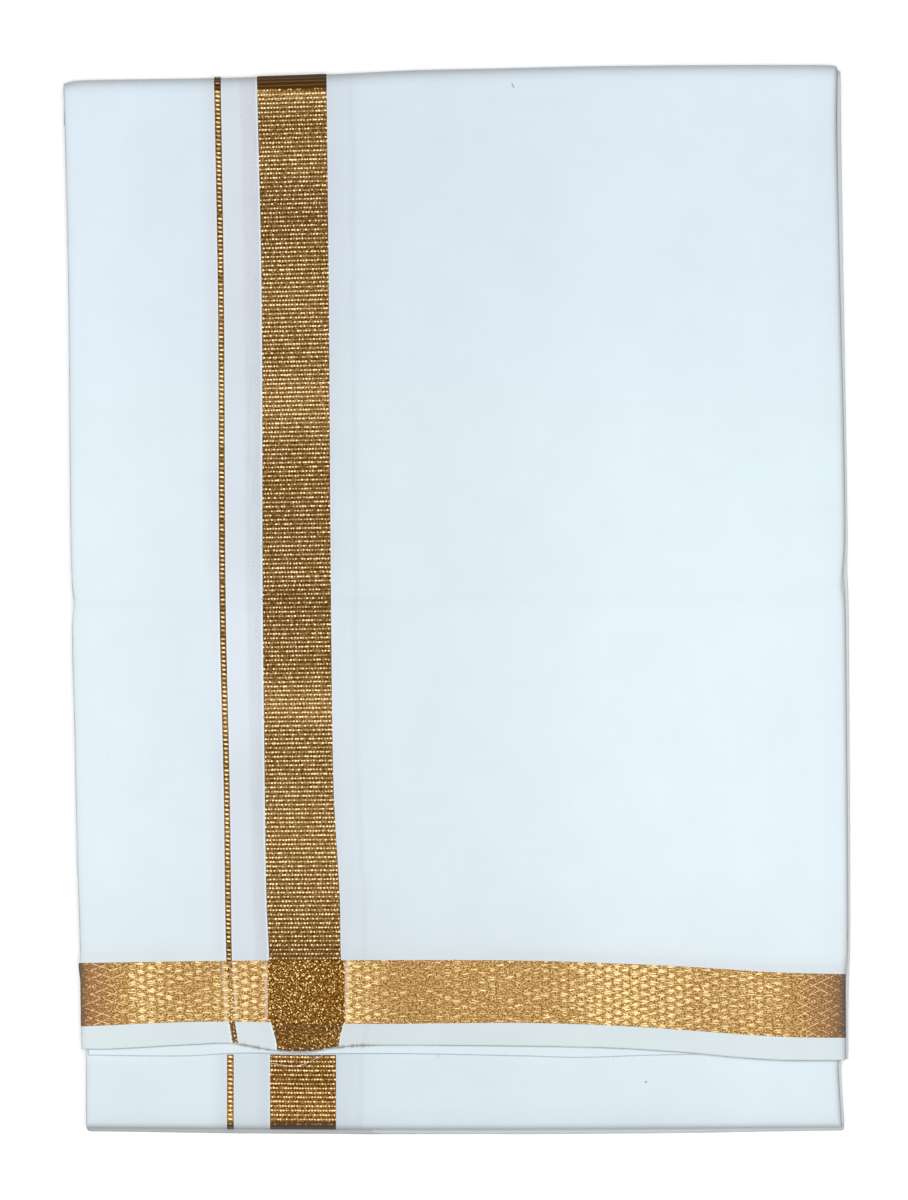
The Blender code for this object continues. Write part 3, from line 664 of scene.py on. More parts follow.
def make_loose_threads(material):
    """Short threads that have worked out of the cut end and lie on the ply below."""
    turn = (2 * math.pi * np.arange(YARN_SIDES) / YARN_SIDES)[:, None]
    points, faces = [], []
    for thread in THREADS:
        t = np.linspace(0, len(thread) - 1, THREAD_STEPS * (len(thread) - 1) + 1)
        rows = table("number x v", [(number, *spot) for number, spot in enumerate(thread)])
        xs, vs = (read_table(rows, "number", column, t) for column in ("x", "v"))
        lift = THREAD_LIFT + THREAD_BOW * np.sin(np.linspace(0, math.pi, len(t)))
        centres = place_lower(xs, vs, LOWER.outer - lift)
        tangents = np.gradient(centres, axis=0)
        tangents /= np.linalg.norm(tangents, axis=1)[:, None]
        across = np.cross(tangents, (0.0, 0.0, 1.0))
        across /= np.linalg.norm(across, axis=1)[:, None]
        over = np.cross(across, tangents)
        section = np.cos(turn) * across[:, None] + np.sin(turn) * over[:, None]
        start = len(points) * YARN_SIDES
        points.extend(centres[:, None] + THREAD_RADIUS * section)
        rings = start + np.arange(len(t) * YARN_SIDES).reshape(len(t), YARN_SIDES)
        low, high = rings[:-1], rings[1:]
        sides = np.stack([low, high, np.roll(high, -1, axis=1), np.roll(low, -1, axis=1)], axis=-1)
        faces += sides.reshape(-1, 4).tolist() + [rings[0].tolist(), rings[-1, ::-1].tolist()]
    points = np.concatenate(points)
    attributes = plain_attributes(points)
    # The threads take some of the painted edge shade.
    attributes["inset"][:, 0] = THREAD_SHADE
    return new_piece("loose_threads", points, faces, material, points[:, :2], attributes)


# ---------------------------------------------------------------- the woven gold's own sizes

# How far the gold's ground stands over the cloth, and how thick it is.
GROUND_DEPTH = -0.03
GROUND_THICKNESS = 0.12
# The rows nearest a strip's edges lie so close to them.
EDGE_STEP = 0.14

# How strongly the gold glints, a painted highlight that also thins the floats where it is low, and how much
# painted shade it takes, going up the front.
TONE = "at glint shade"
BORDER_TONES = table(TONE, [
    (-151.0, 0.60, 0.05), (-140.0, 0.74, 0.0), (-125.0, 0.82, 0.0), (-97.0, 0.90, 0.0),
    (-60.0, 0.76, 0.0), (-45.0, 1.0, 0.0), (-30.0, 0.72, 0.0), (-12.0, 0.70, 0.02),
    (0.0, 0.60, 0.04), (9.0, 0.70, 0.0), (25.0, 0.68, 0.02), (60.0, 0.72, 0.0),
    (84.0, 0.95, 0.0), (102.0, 0.75, 0.0), (120.0, 0.82, 0.0), (140.0, 0.75, 0.0),
    (165.0, 0.65, 0.03), (186.0, 0.82, 0.0), (200.0, 0.70, 0.0), (209.0, 0.88, 0.0),
    (214.0, 0.85, 0.02), (215.2, -2.0, 0.08), (216.6, -2.0, 0.10), (218.2, -2.0, 0.30),
    (222.0, -2.0, 0.50), (225.5, -2.0, 0.50), (227.5, 0.30, 0.20), (231.0, 0.60, 0.10),
])
# The same for the lower border, with painted shade over the bottom fold.
LOWER_TONES = table(TONE, [
    (-225.0, -1.6, 0.94), (-221.8, -1.6, 0.84), (-220.9, -0.6, 0.58), (-219.8, 0.70, 0.08),
    (-211.0, 0.85, 0.0), (-202.0, 0.66, 0.0), (-194.0, 0.80, 0.0),
])
LOWER_LINE_TONES = [tone._replace(glint=1.1) if tone.glint > 0.5 else tone for tone in LOWER_TONES]
# The same going across the end band.
BAND_TONES = table(TONE, [
    (-158.0, -1.3, 0.80), (-156.2, -1.2, 0.35), (-155.0, -1.2, 0.08), (-149.0, -0.9, 0.0),
    (-143.5, -0.1, 0.0), (-139.0, 0.50, 0.0), (-134.5, 0.95, 0.0), (-128.0, 0.95, 0.0),
    (-122.0, 0.70, 0.0), (-112.0, 0.55, 0.0), (-102.0, 0.70, 0.0), (-90.0, 0.85, 0.0),
    (-82.0, 0.75, 0.0), (-44.0, 0.88, 0.0), (-34.0, 0.66, 0.01), (-28.0, 0.46, 0.02),
    (-16.0, 0.36, 0.04), (0.0, 0.52, 0.0), (24.0, 0.48, 0.0), (42.0, 0.58, 0.0),
    (56.0, 0.85, 0.0), (68.0, 1.0, 0.0), (92.0, 0.85, 0.0), (104.0, 0.68, 0.0),
    (130.0, 0.72, 0.0), (138.0, 0.60, 0.0), (144.0, 0.25, 0.02), (150.0, -0.6, 0.06),
    (158.0, -1.2, 0.23), (161.0, -1.3, 0.44), (162.5, -1.3, 0.76), (164.0, -1.3, 0.85),
])
CROSSING_TONES = table(TONE, [(-180.0, 0.60, 0.0), (-151.0, 0.60, 0.0)])
LINE_CROSSING_TONES = table(TONE, [(-180.0, 0.55, 0.05), (-151.0, 0.55, 0.05)])
BORDER_END_TONES = table(TONE, [
    (-191.0, 0.10, 0.55), (-188.0, 0.50, 0.13), (-179.0, 0.42, 0.19),
])
LINE_END_TONES = table(TONE, [(-191.0, 0.30, 0.42), (-178.0, 0.45, 0.22)])

# The diamonds of the end band, along it and across it.
DIAMOND_LENGTH = 7.6
DIAMOND_HEIGHT = 3.35
# How the band goes over the front's sides: how far out, how far down, and how far past the strip's end.
WRAP = table("out down past", [(0.06, 0.05, 0.002), (0.14, 0.22, 0.004), (0.10, 0.42, 0.006)])
BAND_HEIGHT = 26.6
BAND_MIDDLE = -165.0
# The floats inside one diamond: how far each is from its middle, in diamonds, and its length and width.
DIAMOND_FLOATS = table("shift length width", [
    (0.0, 4.4, 0.48), (0.26, 3.6, 0.45), (-0.26, 3.6, 0.45), (0.50, 2.2, 0.42), (-0.50, 2.2, 0.42),
])
# Where the diamonds' lines stop showing, in from each end of the band.
LATTICE_LEFT = -140.0
LATTICE_RIGHT = 143.0

# How far the thin line's yarn keeps in from its edges, and the gold from the cloth's cut end.
LINE_INSET = 0.15
GOLD_FROM_END = 0.35
# How far apart the rows of the surfaces are that the yarn is laid on.
STRIP_STEP = 1.3
BAND_STEP = 3.0
# How many floats lie side by side on a rib, how unevenly the ribs lie, and how close the band's specks are.
FLOATS_PER_RIB = 23
RIB_UNEVENNESS = 0.07
SPECKS_ACROSS = 31
SPECK_PITCH = 1.05
# The first seed of each kind of short thread.
CROSSING_SEED = 21
DIAMOND_SEED = 31
SPECK_SEED = 41
# A float is a flat-topped lozenge: the reach of its top beside its foot's 0.5, and how unevenly it lies.
FLOAT_TOP = 0.42
FLOAT_TILT = 0.16
# A rib's waver is noise at this scale across the strip and from rib to rib, and its swelling is finer.
WAVER_ACROSS = 6.0
WAVER_ALONG = 3.7
SWELLING_SCALE = 0.7
# A float glints more or less than the gold round it: by how much at most, and what an even one has.
GLINT_SPREAD = (0.7, 0.9)
SEED_STEP = 17

# Pale slips of bare yarn that cross the band: the left edge at its top and at its foot, and the width.
SLIP_INSET = 0.3
SLIP_LIFT = 0.6
PALE_SLIPS = table("top foot width", [
    (-98.6, -97.3, 1.4), (-94.1, -92.9, 1.4), (-80.7, -80.4, 1.5), (-46.9, -46.7, 1.9),
])


def strip_between(low, high, left, right):
    """Places on a strip that runs up the cloth, at a share across it and a share along it."""
    middle = float(left(0.0) + right(0.0)) / 2

    def point(across, along):
        level = low(middle) + along * (high(middle) - low(middle))
        x = left(level) * (1 - across) + right(level) * across
        return x, low(x) + along * (high(x) - low(x))

    return point, float(high(middle) - low(middle))


def new_surface(name, across, along, x, v, points, tones, tones_at):
    """An open surface that a weave is laid on. Its strip coordinates are the shares across and along it."""
    columns = {
        "weave": np.stack([x.ravel(), v.ravel(), 0 * x.ravel()], axis=1),
        "glint": read_table(tones, "at", "glint", tones_at).ravel(),
        "shade": read_table(tones, "at", "shade", tones_at).ravel(),
    }
    strip = np.stack([across.ravel(), along.ravel()], axis=1)
    return new_mesh(name, points.reshape(-1, 3), grid_faces(*x.shape).tolist(), columns, "strip", strip)


def close_ended(count, length):
    """Shares from 0 to 1 with one more very near each end, so that an edge's rounding stays narrow."""
    near = min(EDGE_STEP / length, 0.2)
    return np.concatenate([[0.0], np.linspace(near, 1 - near, count), [1.0]])


def strip_surface(name, point, across, along, put, layer, tones):
    width = float(point(1.0, 0.5)[0] - point(0.0, 0.5)[0])
    length = float(point(0.5, 1.0)[1] - point(0.5, 0.0)[1])
    u, w = np.meshgrid(close_ended(across, width), close_ended(along, length))
    x, v = point(u, w)
    return new_surface(name, u, w, x, v, put(x, v, layer.outer + GROUND_DEPTH), tones, v)


def band_surface(name, start, stop, count):
    """The end band from its upper edge to its lower, between a side of the front and the crossing."""
    rows = [(share, 0.0, 0.0) for share in close_ended(count, 3.0 * count)]
    if callable(start):
        rows = [(-turn.past, -turn.out, turn.down) for turn in reversed(WRAP)] + rows
    if callable(stop):
        rows += [(1 + turn.past, turn.out, turn.down) for turn in WRAP]
    along, out, down = np.array(rows).T
    u, w = np.meshgrid(close_ended(12, BAND_HEIGHT), along)

    def level(x):
        return band_upper(x) * (1 - u) + band_lower(x) * u

    def edge(reach):
        return reach(level(reach(BAND_MIDDLE))) if callable(reach) else reach

    share = np.clip(w, 0.0, 1.0)
    x = edge(start) * (1 - share) + edge(stop) * share + out[:, None]
    v = level(x)
    points = place(x, v, FRONT.outer + GROUND_DEPTH + down[:, None])
    return new_surface(name, u, w, x, v, points, BAND_TONES, x)


def slips_surface(name):
    """The pale slips, as one surface of separate strips."""
    u, w = np.meshgrid(np.linspace(0, 1, 4), np.linspace(0, 1, 19))
    points, faces, weave = [], [], []
    for slip in PALE_SLIPS:
        x = slip.foot + (slip.top - slip.foot) * w + slip.width * u
        v = band_lower(x) + SLIP_INSET + w * (band_upper(x) - band_lower(x) - 2 * SLIP_INSET)
        faces += grid_faces(*x.shape, start=len(points) * x.size).tolist()
        points.append(place(x, v, GROUND_DEPTH - SLIP_LIFT * GROUND_THICKNESS).reshape(-1, 3))
        weave.append(np.stack([x.ravel(), v.ravel(), 0 * x.ravel()], axis=1))
    return new_mesh(name, np.concatenate(points), faces, {"weave": np.concatenate(weave)})


# ---------------------------------------------------------------- node trees


class Nodes:
    """Adds a tree's nodes, each with its inputs filled in or linked in the same call."""

    def __init__(self, tree):
        self.tree = tree

    def node(self, kind, inputs=(), **settings):
        node = self.tree.nodes.new(kind)
        for name, value in settings.items():
            setattr(node, name, value)
        return self.fill(node, inputs)

    def fill(self, node, inputs):
        for key, value in dict(inputs).items():
            if isinstance(value, bpy.types.NodeSocket):
                self.tree.links.new(value, node.inputs[key])
            else:
                node.inputs[key].default_value = value
        return node

    def add(self, kind, inputs=(), out=0, **settings):
        return self.node(kind, inputs, **settings).outputs[out]

    def math(self, operation, *values):
        return self.add("ShaderNodeMath", enumerate(values), operation=operation)

    plus = partialmethod(math, "ADD")
    less = partialmethod(math, "SUBTRACT")
    times = partialmethod(math, "MULTIPLY")
    divided = partialmethod(math, "DIVIDE")
    times_plus = partialmethod(math, "MULTIPLY_ADD")
    most = partialmethod(math, "MAXIMUM")

    def attribute(self, name, out=2):
        """A value that the piece carries, or with out=1 a vector."""
        return self.add("ShaderNodeAttribute", attribute_name=name, out=out)

    def vector(self, operation, *values):
        return self.add("ShaderNodeVectorMath", enumerate(values), operation=operation)

    def scaled(self, vector, factor):
        return self.add("ShaderNodeVectorMath", {0: vector, 3: factor}, operation="SCALE")

    def join(self, x, y, z=0.0):
        return self.add("ShaderNodeCombineXYZ", {0: x, 1: y, 2: z})

    def split(self, vector):
        return self.node("ShaderNodeSeparateXYZ", {0: vector}).outputs

    def noise(self, vector, scale=1.0, detail=2.0, roughness=0.5):
        return self.add("ShaderNodeTexNoise", {0: vector, 2: scale, 3: detail, 4: roughness})

    def smooth(self, value, start, stop, low=0.0, high=1.0):
        inputs = {0: value, 1: start, 2: stop, 3: low, 4: high}
        return self.add("ShaderNodeMapRange", inputs, interpolation_type="SMOOTHSTEP")

    def within(self, value, start, stop, soft):
        """1 between two values, 0 outside them, with soft edges."""
        rising = self.smooth(value, start - soft, start + soft)
        return self.times(rising, self.smooth(value, stop - soft, stop + soft, 1.0, 0.0))

    def ramp(self, value, *stops):
        """A colour for a value, from stops of a place and a colour."""
        node = self.node("ShaderNodeValToRGB", {0: value})
        elements = node.color_ramp.elements
        while len(elements) < len(stops):
            elements.new(1.0)
        for element, (place_, colour) in zip(elements, stops):
            element.position = place_
            element.color = opaque(colour)
        return node.outputs[0]

    def mix(self, factor, first, second, blend="MIX"):
        inputs = {0: factor, 6: first, 7: second}
        return self.add("ShaderNodeMix", inputs, out=2, data_type="RGBA", blend_type=blend)


def new_tree(name, inputs):
    tree = bpy.data.node_groups.new(name, "GeometryNodeTree")
    tree.is_modifier = True
    tree.interface.new_socket("Surface", in_out="INPUT", socket_type="NodeSocketGeometry")
    for label, kind in inputs.items():
        tree.interface.new_socket(label, in_out="INPUT", socket_type="NodeSocket" + kind)
    tree.interface.new_socket("Geometry", in_out="OUTPUT", socket_type="NodeSocketGeometry")
    nodes = Nodes(tree)
    return nodes, tree.nodes.new("NodeGroupInput").outputs


def end_tree(nodes, geometry, material, smooth=True):
    """Every tree ends in real geometry with its material on it."""
    real = nodes.add("GeometryNodeRealizeInstances", {0: geometry})
    for label in ("strip", "facing"):
        real = nodes.add("GeometryNodeRemoveAttribute", {0: real, 1: label})
    shaded = nodes.add("GeometryNodeSetShadeSmooth", {0: real, 2: smooth})
    done = nodes.add("GeometryNodeSetMaterial", {0: shaded, 2: material})
    nodes.node("NodeGroupOutput", {0: done})
    return nodes.tree


def stored(nodes, geometry, name, value, kind="FLOAT"):
    inputs = {0: geometry, 2: name, 3: value}
    return nodes.add("GeometryNodeStoreNamedAttribute", inputs, data_type=kind, domain="POINT")


def named(nodes, name, kind="FLOAT"):
    return nodes.add("GeometryNodeInputNamedAttribute", {0: name}, data_type=kind)


def on_surface(nodes, surface, value, spot, kind="FLOAT_VECTOR", out=0):
    """A value of the surface at strip coordinates, or with out=1 whether they lie on it."""
    inputs = {0: surface, 1: value, 2: named(nodes, "strip", "FLOAT_VECTOR"), 3: spot}
    return nodes.add("GeometryNodeSampleUVSurface", inputs, out, data_type=kind)


def laid_on(nodes, surface, geometry, spot, lift):
    """Geometry moved to its strip coordinates on the surface, with its values. What misses it goes."""
    for name, kind in (("weave", "FLOAT_VECTOR"), ("glint", "FLOAT"), ("shade", "FLOAT")):
        value = on_surface(nodes, surface, named(nodes, name, kind), spot, kind)
        geometry = stored(nodes, geometry, name, value, kind)
    position = nodes.add("GeometryNodeInputPosition")
    at = on_surface(nodes, surface, position, spot)
    valid = on_surface(nodes, surface, position, spot, out=1)
    facing = on_surface(nodes, surface, nodes.add("GeometryNodeInputNormal"), spot)
    geometry = stored(nodes, geometry, "facing", facing, "FLOAT_VECTOR")
    geometry = stored(nodes, geometry, "strip", spot, "FLOAT_VECTOR")
    geometry = stored(nodes, geometry, "on it", valid, "BOOLEAN")
    there = nodes.vector("ADD", at, nodes.scaled(facing, lift))
    geometry = nodes.add("GeometryNodeSetPosition", {0: geometry, 2: there})
    missed = nodes.add("FunctionNodeBooleanMath", {0: named(nodes, "on it", "BOOLEAN")}, operation="NOT")
    geometry = nodes.add("GeometryNodeDeleteGeometry", {0: geometry, 1: missed}, domain="POINT")
    return nodes.add("GeometryNodeRemoveAttribute", {0: geometry, 1: "on it"})


def ground_tree():
    """A closed, thin ground from a surface, thickened along its normals."""
    nodes, given = new_tree("Woven ground", {"Thickness": "Float", "Material": "Material"})
    surface, thickness, material = given[0], given["Thickness"], given["Material"]
    raised = nodes.add("GeometryNodeExtrudeMesh", {0: surface, 3: thickness, 4: False}, mode="FACES")
    back = nodes.add("GeometryNodeFlipFaces", {0: surface})
    both = nodes.node("GeometryNodeJoinGeometry")
    nodes.tree.links.new(raised, both.inputs[0])
    nodes.tree.links.new(back, both.inputs[0])
    closed = nodes.add("GeometryNodeMergeByDistance", {0: both.outputs[0], 2: 1e-6})
    return end_tree(nodes, closed, material)


def ribs_tree():
    """Rows of round yarn laid across a surface, one after another along it, straight or on a slant."""
    inputs = {
        "Ribs": "Int", "Overrun": "Int", "Steps": "Int", "Slant": "Float", "Radius": "Float", "Lift": "Float",
        "Unevenness": "Float", "Waver": "Float", "Swelling": "Float", "Margin": "Float", "Seed": "Int",
        "Material": "Material",
    }
    nodes, given = new_tree("Woven ribs", inputs)
    total = nodes.plus(given["Ribs"], nodes.times(given["Overrun"], 2.0))
    grid = nodes.add("GeometryNodeMeshGrid", {0: 1.0, 1: 1.0, 2: given["Steps"], 3: total})
    x, y, _ = nodes.split(nodes.add("GeometryNodeInputPosition"))
    share = nodes.plus(x, 0.5)
    number = nodes.math("ROUND", nodes.times(nodes.plus(y, 0.5), nodes.less(total, 1.0)))
    ends = nodes.node("GeometryNodeInputMeshEdgeVertices")
    first = nodes.split(ends.outputs["Position 1"])[1]
    second = nodes.split(ends.outputs["Position 2"])[1]
    lengthwise = nodes.math("GREATER_THAN", nodes.math("ABSOLUTE", nodes.less(first, second)), 1e-5)
    rows = nodes.add("GeometryNodeDeleteGeometry", {0: grid, 1: lengthwise}, domain="EDGE", mode="EDGE_FACE")
    margin = given["Margin"]
    across = nodes.times_plus(share, nodes.less(1.0, nodes.times(margin, 2.0)), margin)
    spread = nodes.times(share, WAVER_ACROSS), nodes.times(number, WAVER_ALONG)
    drift = nodes.noise(nodes.join(*spread, given["Seed"]))
    waver = nodes.times(nodes.less(drift, 0.5), given["Waver"])
    loose = nodes.add("FunctionNodeRandomValue", {2: -0.5, 3: 0.5, 7: number, 8: given["Seed"]}, out=1)
    shift = nodes.times_plus(loose, given["Unevenness"], waver)
    row = nodes.plus(nodes.plus(nodes.less(number, given["Overrun"]), 0.5), shift)
    slanted = nodes.times(nodes.less(across, 0.5), given["Slant"])
    along = nodes.plus(nodes.divided(row, given["Ribs"]), slanted)
    laid = laid_on(nodes, given[0], rows, nodes.join(across, along), given["Lift"])
    curves = nodes.add("GeometryNodeMeshToCurve", {0: laid})
    profile = nodes.add("GeometryNodeCurvePrimitiveCircle", {0: YARN_SIDES, 4: 1.0}, mode="RADIUS")
    lumps = nodes.noise(named(nodes, "weave", "FLOAT_VECTOR"), SWELLING_SCALE, 1.0)
    swollen = nodes.times_plus(nodes.less(lumps, 0.5), given["Swelling"], 1.0)
    width = nodes.times(given["Radius"], swollen)
    tubes = nodes.add("GeometryNodeCurveToMesh", {0: curves, 1: profile, 2: width, 3: True})
    return end_tree(nodes, tubes, given["Material"])


def flecks_tree():
    """Short floats of thread laid in rows and columns on a surface, each a little different."""
    inputs = {
        "Across": "Int", "Along": "Int", "Stagger": "Float", "Row Slide": "Float", "Shift Across": "Float",
        "Jitter Across": "Float", "Jitter Along": "Float", "Length": "Float", "Length Spread": "Float",
        "Width": "Float", "Height": "Float", "Lift": "Float", "Turn": "Float", "Turn Spread": "Float",
        "Fill": "Float", "By Glint": "Float", "Seed": "Int", "Material": "Material",
    }
    nodes, given = new_tree("Woven flecks", inputs)
    index = nodes.add("GeometryNodeInputIndex")
    seeds = iter(range(SEED_STEP, 20 * SEED_STEP, SEED_STEP))

    def random():
        seed = nodes.plus(given["Seed"], float(next(seeds)))
        return nodes.add("FunctionNodeRandomValue", {2: -0.5, 3: 0.5, 7: index, 8: seed}, out=1)

    total = nodes.times(given["Across"], given["Along"])
    line = nodes.add("GeometryNodeMeshLine", {0: total}, mode="OFFSET")
    column = nodes.math("FLOORED_MODULO", index, given["Across"])
    row = nodes.math("FLOOR", nodes.divided(index, given["Across"]))
    odd_column = nodes.math("FLOORED_MODULO", column, 2.0)
    across = nodes.plus(nodes.plus(column, 0.5), nodes.times(random(), given["Jitter Across"]))
    slide = nodes.add("FunctionNodeRandomValue", {2: -0.5, 3: 0.5, 7: row, 8: given["Seed"]}, out=1)
    across = nodes.times_plus(slide, given["Row Slide"], across)
    across = nodes.plus(nodes.divided(across, given["Across"]), given["Shift Across"])
    along = nodes.plus(nodes.plus(row, 0.5), nodes.times(random(), given["Jitter Along"]))
    along = nodes.times_plus(nodes.less(odd_column, 0.5), given["Stagger"], along)
    along = nodes.divided(along, given["Along"])
    laid = laid_on(nodes, given[0], line, nodes.join(across, along), given["Lift"])
    chance = nodes.times_plus(nodes.less(named(nodes, "glint"), 1.0), given["By Glint"], given["Fill"])
    gone = nodes.math("GREATER_THAN", nodes.plus(random(), 0.5), chance)
    kept = nodes.add("GeometryNodeDeleteGeometry", {0: laid, 1: gone}, domain="POINT")
    brightness = nodes.times(named(nodes, "glint"), nodes.times_plus(random(), *GLINT_SPREAD))
    kept = stored(nodes, kept, "glint", brightness)
    points = nodes.add("GeometryNodeMeshToPoints", {0: kept}, mode="VERTICES")
    turn = nodes.times_plus(random(), given["Turn Spread"], given["Turn"])
    level = nodes.add("FunctionNodeEulerToRotation", {0: nodes.join(0.0, 0.0, turn)})
    tilt = nodes.scaled(nodes.join(random(), random()), FLOAT_TILT)
    facing = nodes.vector("ADD", named(nodes, "facing", "FLOAT_VECTOR"), tilt)
    turned = nodes.add("FunctionNodeAlignRotationToVector", {0: level, 2: facing}, axis="Z")
    length = nodes.times(given["Length"], nodes.times_plus(random(), given["Length Spread"], 1.0))
    size = nodes.join(length, given["Width"], given["Height"])
    bead = nodes.add("GeometryNodeMeshCone", {0: YARN_SIDES, 3: FLOAT_TOP, 4: 0.5, 5: 1.0})
    bead = nodes.add("GeometryNodeTransform", {0: bead, "Translation": (0.0, 0.0, -0.5)})
    beads = nodes.add("GeometryNodeInstanceOnPoints", {0: points, 2: bead, 5: turned, 6: size})
    return end_tree(nodes, beads, given["Material"], smooth=False)


def woven(name, tree, surface, **inputs):
    """A piece made by a tree on a surface, turned into a plain mesh."""
    piece = bpy.data.objects.new(name, surface)
    bpy.context.scene.collection.objects.link(piece)
    weave = piece.modifiers.new("Weave", "NODES")
    weave.node_group = tree
    for item in tree.interface.items_tree:
        key = item.name.lower().replace(" ", "_")
        if item.in_out == "INPUT" and key in inputs:
            weave[item.identifier] = inputs.pop(key)
    if inputs:
        raise RuntimeError(f"{name}: the tree has no input {sorted(inputs)}")
    depsgraph = bpy.context.evaluated_depsgraph_get()
    mesh = bpy.data.meshes.new_from_object(
        piece.evaluated_get(depsgraph), preserve_all_data_layers=True, depsgraph=depsgraph
    )
    piece.modifiers.clear()
    piece.data = mesh
    mesh.name = name
    if not mesh.polygons:
        raise RuntimeError(f"{name}: the weave came out empty")
    return piece


def tree_named(name):
    makers = {"Woven ground": ground_tree, "Woven ribs": ribs_tree, "Woven flecks": flecks_tree}
    return bpy.data.node_groups.get(name) or makers[name]()


# ---------------------------------------------------------------- settings


def tint(name, red, green, blue, description):
    colour = {"default": (red, green, blue), "size": 3, "min": 0.0, "max": 1.0, "subtype": "COLOR"}
    return FloatVectorProperty(name=name, description=description, **colour)


def amount(name, default, description, **settings):
    return FloatProperty(name=name, description=description, default=default, **settings)


def measure(name, millimetres, description):
    return amount(name, millimetres * MM, description, min=0.0, unit="LENGTH")


def fraction(name, default, description):
    return amount(name, default, description, min=0.0, max=1.0, subtype="FACTOR")


class ClothSettings(PropertyGroup):
    """The white cotton."""

    colour: tint("Cotton", 0.67, 0.765, 0.815, "The pressed white cotton")
    veil_colour: tint("Sheer cotton", 0.575, 0.614, 0.660, "Where the plies show through beside the border")
    near_gold_colour: tint("Beside the gold", 0.650, 0.690, 0.757, "The cotton's lilac cast beside the gold")
    # Painted shade: the colour that the cloth darkens towards along its folds, edges and cut end.
    rim_shade_colour: tint("Rim", 0.34, 0.33, 0.32, "The cotton's tint along its folds and edges")
    hem_colour: tint("Hem", 0.628, 0.700, 0.722, "The cotton below the end band")
    cool_colour: tint("Cool cotton", 0.648, 0.738, 0.812, "The cotton's bluer cast towards its upper right")
    mark_colour: tint("Mark", 0.16, 0.17, 0.20, "The small marks near the top fold and on the lower ply")
    thread: measure("Thread", 0.36, "The width of one thread of the plain weave")
    relief: measure("Relief", 0.05, "How far the weave stands out")
    roughness: fraction("Roughness", 0.86, "How matt the cotton is")
    sheen: fraction("Sheen", 0.12, "The soft glow of the cotton's nap")


class GoldSettings(PropertyGroup):
    """The woven gold."""

    groove_colour: tint("Groove", 0.070, 0.0265, 0.002, "The darkest of the gold's ground")
    ground_colour: tint("Ground", 0.18, 0.089, 0.020, "The brown between the border's ribs")
    spark_colour: tint("Ground thread", 0.365, 0.208, 0.066, "The fine sparks of the border's ground")
    rib_colour: tint("Rib", 0.380, 0.228, 0.078, "The dull stretches of a rib")
    float_colour: tint("Float", 0.51, 0.335, 0.145, "A thread that floats over the ground")
    bright_colour: tint("Bright thread", 0.93, 0.75, 0.45, "The brightest of the border's floats")
    bead_colour: tint("Bead", 0.62, 0.43, 0.215, "The tops of the thin line's beads")
    bead_bright_colour: tint("Bright bead", 0.92, 0.72, 0.435, "The brightest of the thin line's beads")
    band_groove_colour: tint("Band groove", 0.185, 0.090, 0.018, "The darkest of the end band's ground")
    band_colour: tint("Band", 0.355, 0.196, 0.060, "The end band's ground")
    band_spark_colour: tint("Band thread", 0.53, 0.330, 0.132, "The end band's finer threads")
    lens_colour: tint("Band highlight", 0.84, 0.655, 0.325, "The bright floats inside the band's diamonds")
    lattice_colour: tint("Lattice", 0.93, 0.66, 0.36, "The lines between the diamonds at the band's ends")
    dull_colour: tint("Dull end", 0.31, 0.145, 0.060, "The pinker gold towards the band's ends")
    # Painted shade: the gold's colour where it turns away from the light over a fold or round a side; it also
    # gives the gold below the end band a duller, greyer cast.
    fold_shade_colour: tint("Fold", 0.086, 0.074, 0.062, "The gold where it turns away over a fold")
    pale_colour: tint("Pale slips", 0.50, 0.34, 0.27, "The bare yarn beside the crossings")
    pale_bright_colour: tint("Pale thread", 0.74, 0.62, 0.56, "The brightest of the bare yarn")
    crossing_groove_colour: tint("Crossing groove", 0.070, 0.023, 0.001, "The darkest of the crossing")
    crossing_ground_colour: tint("Crossing ground", 0.150, 0.064, 0.006, "The crossing's ground")
    crossing_spark_colour: tint("Crossing thread", 0.35, 0.19, 0.045, "The fine sparks of its ground")
    crossing_dark_colour: tint("Crossing shade", 0.24, 0.110, 0.018, "The dullest of its short threads")
    crossing_float_colour: tint("Crossing float", 0.59, 0.345, 0.105, "Its short threads")
    crossing_bright_colour: tint("Crossing glint", 1.0, 0.80, 0.40, "The brightest of its short threads")
    rib_pitch: measure("Rib pitch", 1.84, "From one rib of the border to the next")
    rib_radius: measure("Rib radius", 0.30, "Half the width of one rib")
    float_length: measure("Float length", 0.92, "One bright float on a rib")
    diamond_length: measure("Diamond length", DIAMOND_LENGTH, "One diamond of the band, along it")
    diamond_height: measure("Diamond height", DIAMOND_HEIGHT, "One diamond of the band, across it")
    roughness: fraction("Roughness", 0.54, "How soft the gold's gloss is")
    metallic: fraction("Metallic", 0.24, "How much of the gold thread is metal foil")
    seed: IntProperty(name="Seed", description="Changes where the gold glints", default=5, min=0)


class StageSettings(PropertyGroup):
    """The floor, the light and the camera."""

    view_height: measure("View height", 504.0, "How much of the parcel's plane the picture takes in")
    distance: measure("Distance", 8000.0, "From the front's face to the camera")
    view_x: amount("View X", -0.84 * MM, "The middle of the picture, to the right", unit="LENGTH")
    view_y: amount("View Y", -0.42 * MM, "The middle of the picture, upwards", unit="LENGTH")
    floor_colour: tint("Floor", 0.97, 0.97, 0.97, "The pale floor")
    tooth_colour: tint("Floor tooth", 0.92, 0.92, 0.92, "The faint tooth of the floor's paper")
    sky: amount("Sky", 0.26, "The even light from all round", min=0.0)
    key: amount("Key", 58.0, "The large soft light overhead", min=0.0, unit="POWER")
    key_size: measure("Key size", 1800.0, "The side of the light overhead")
    floor_glow: amount("Floor glow", 0.2, "The light that comes through the floor")


# ---------------------------------------------------------------- materials

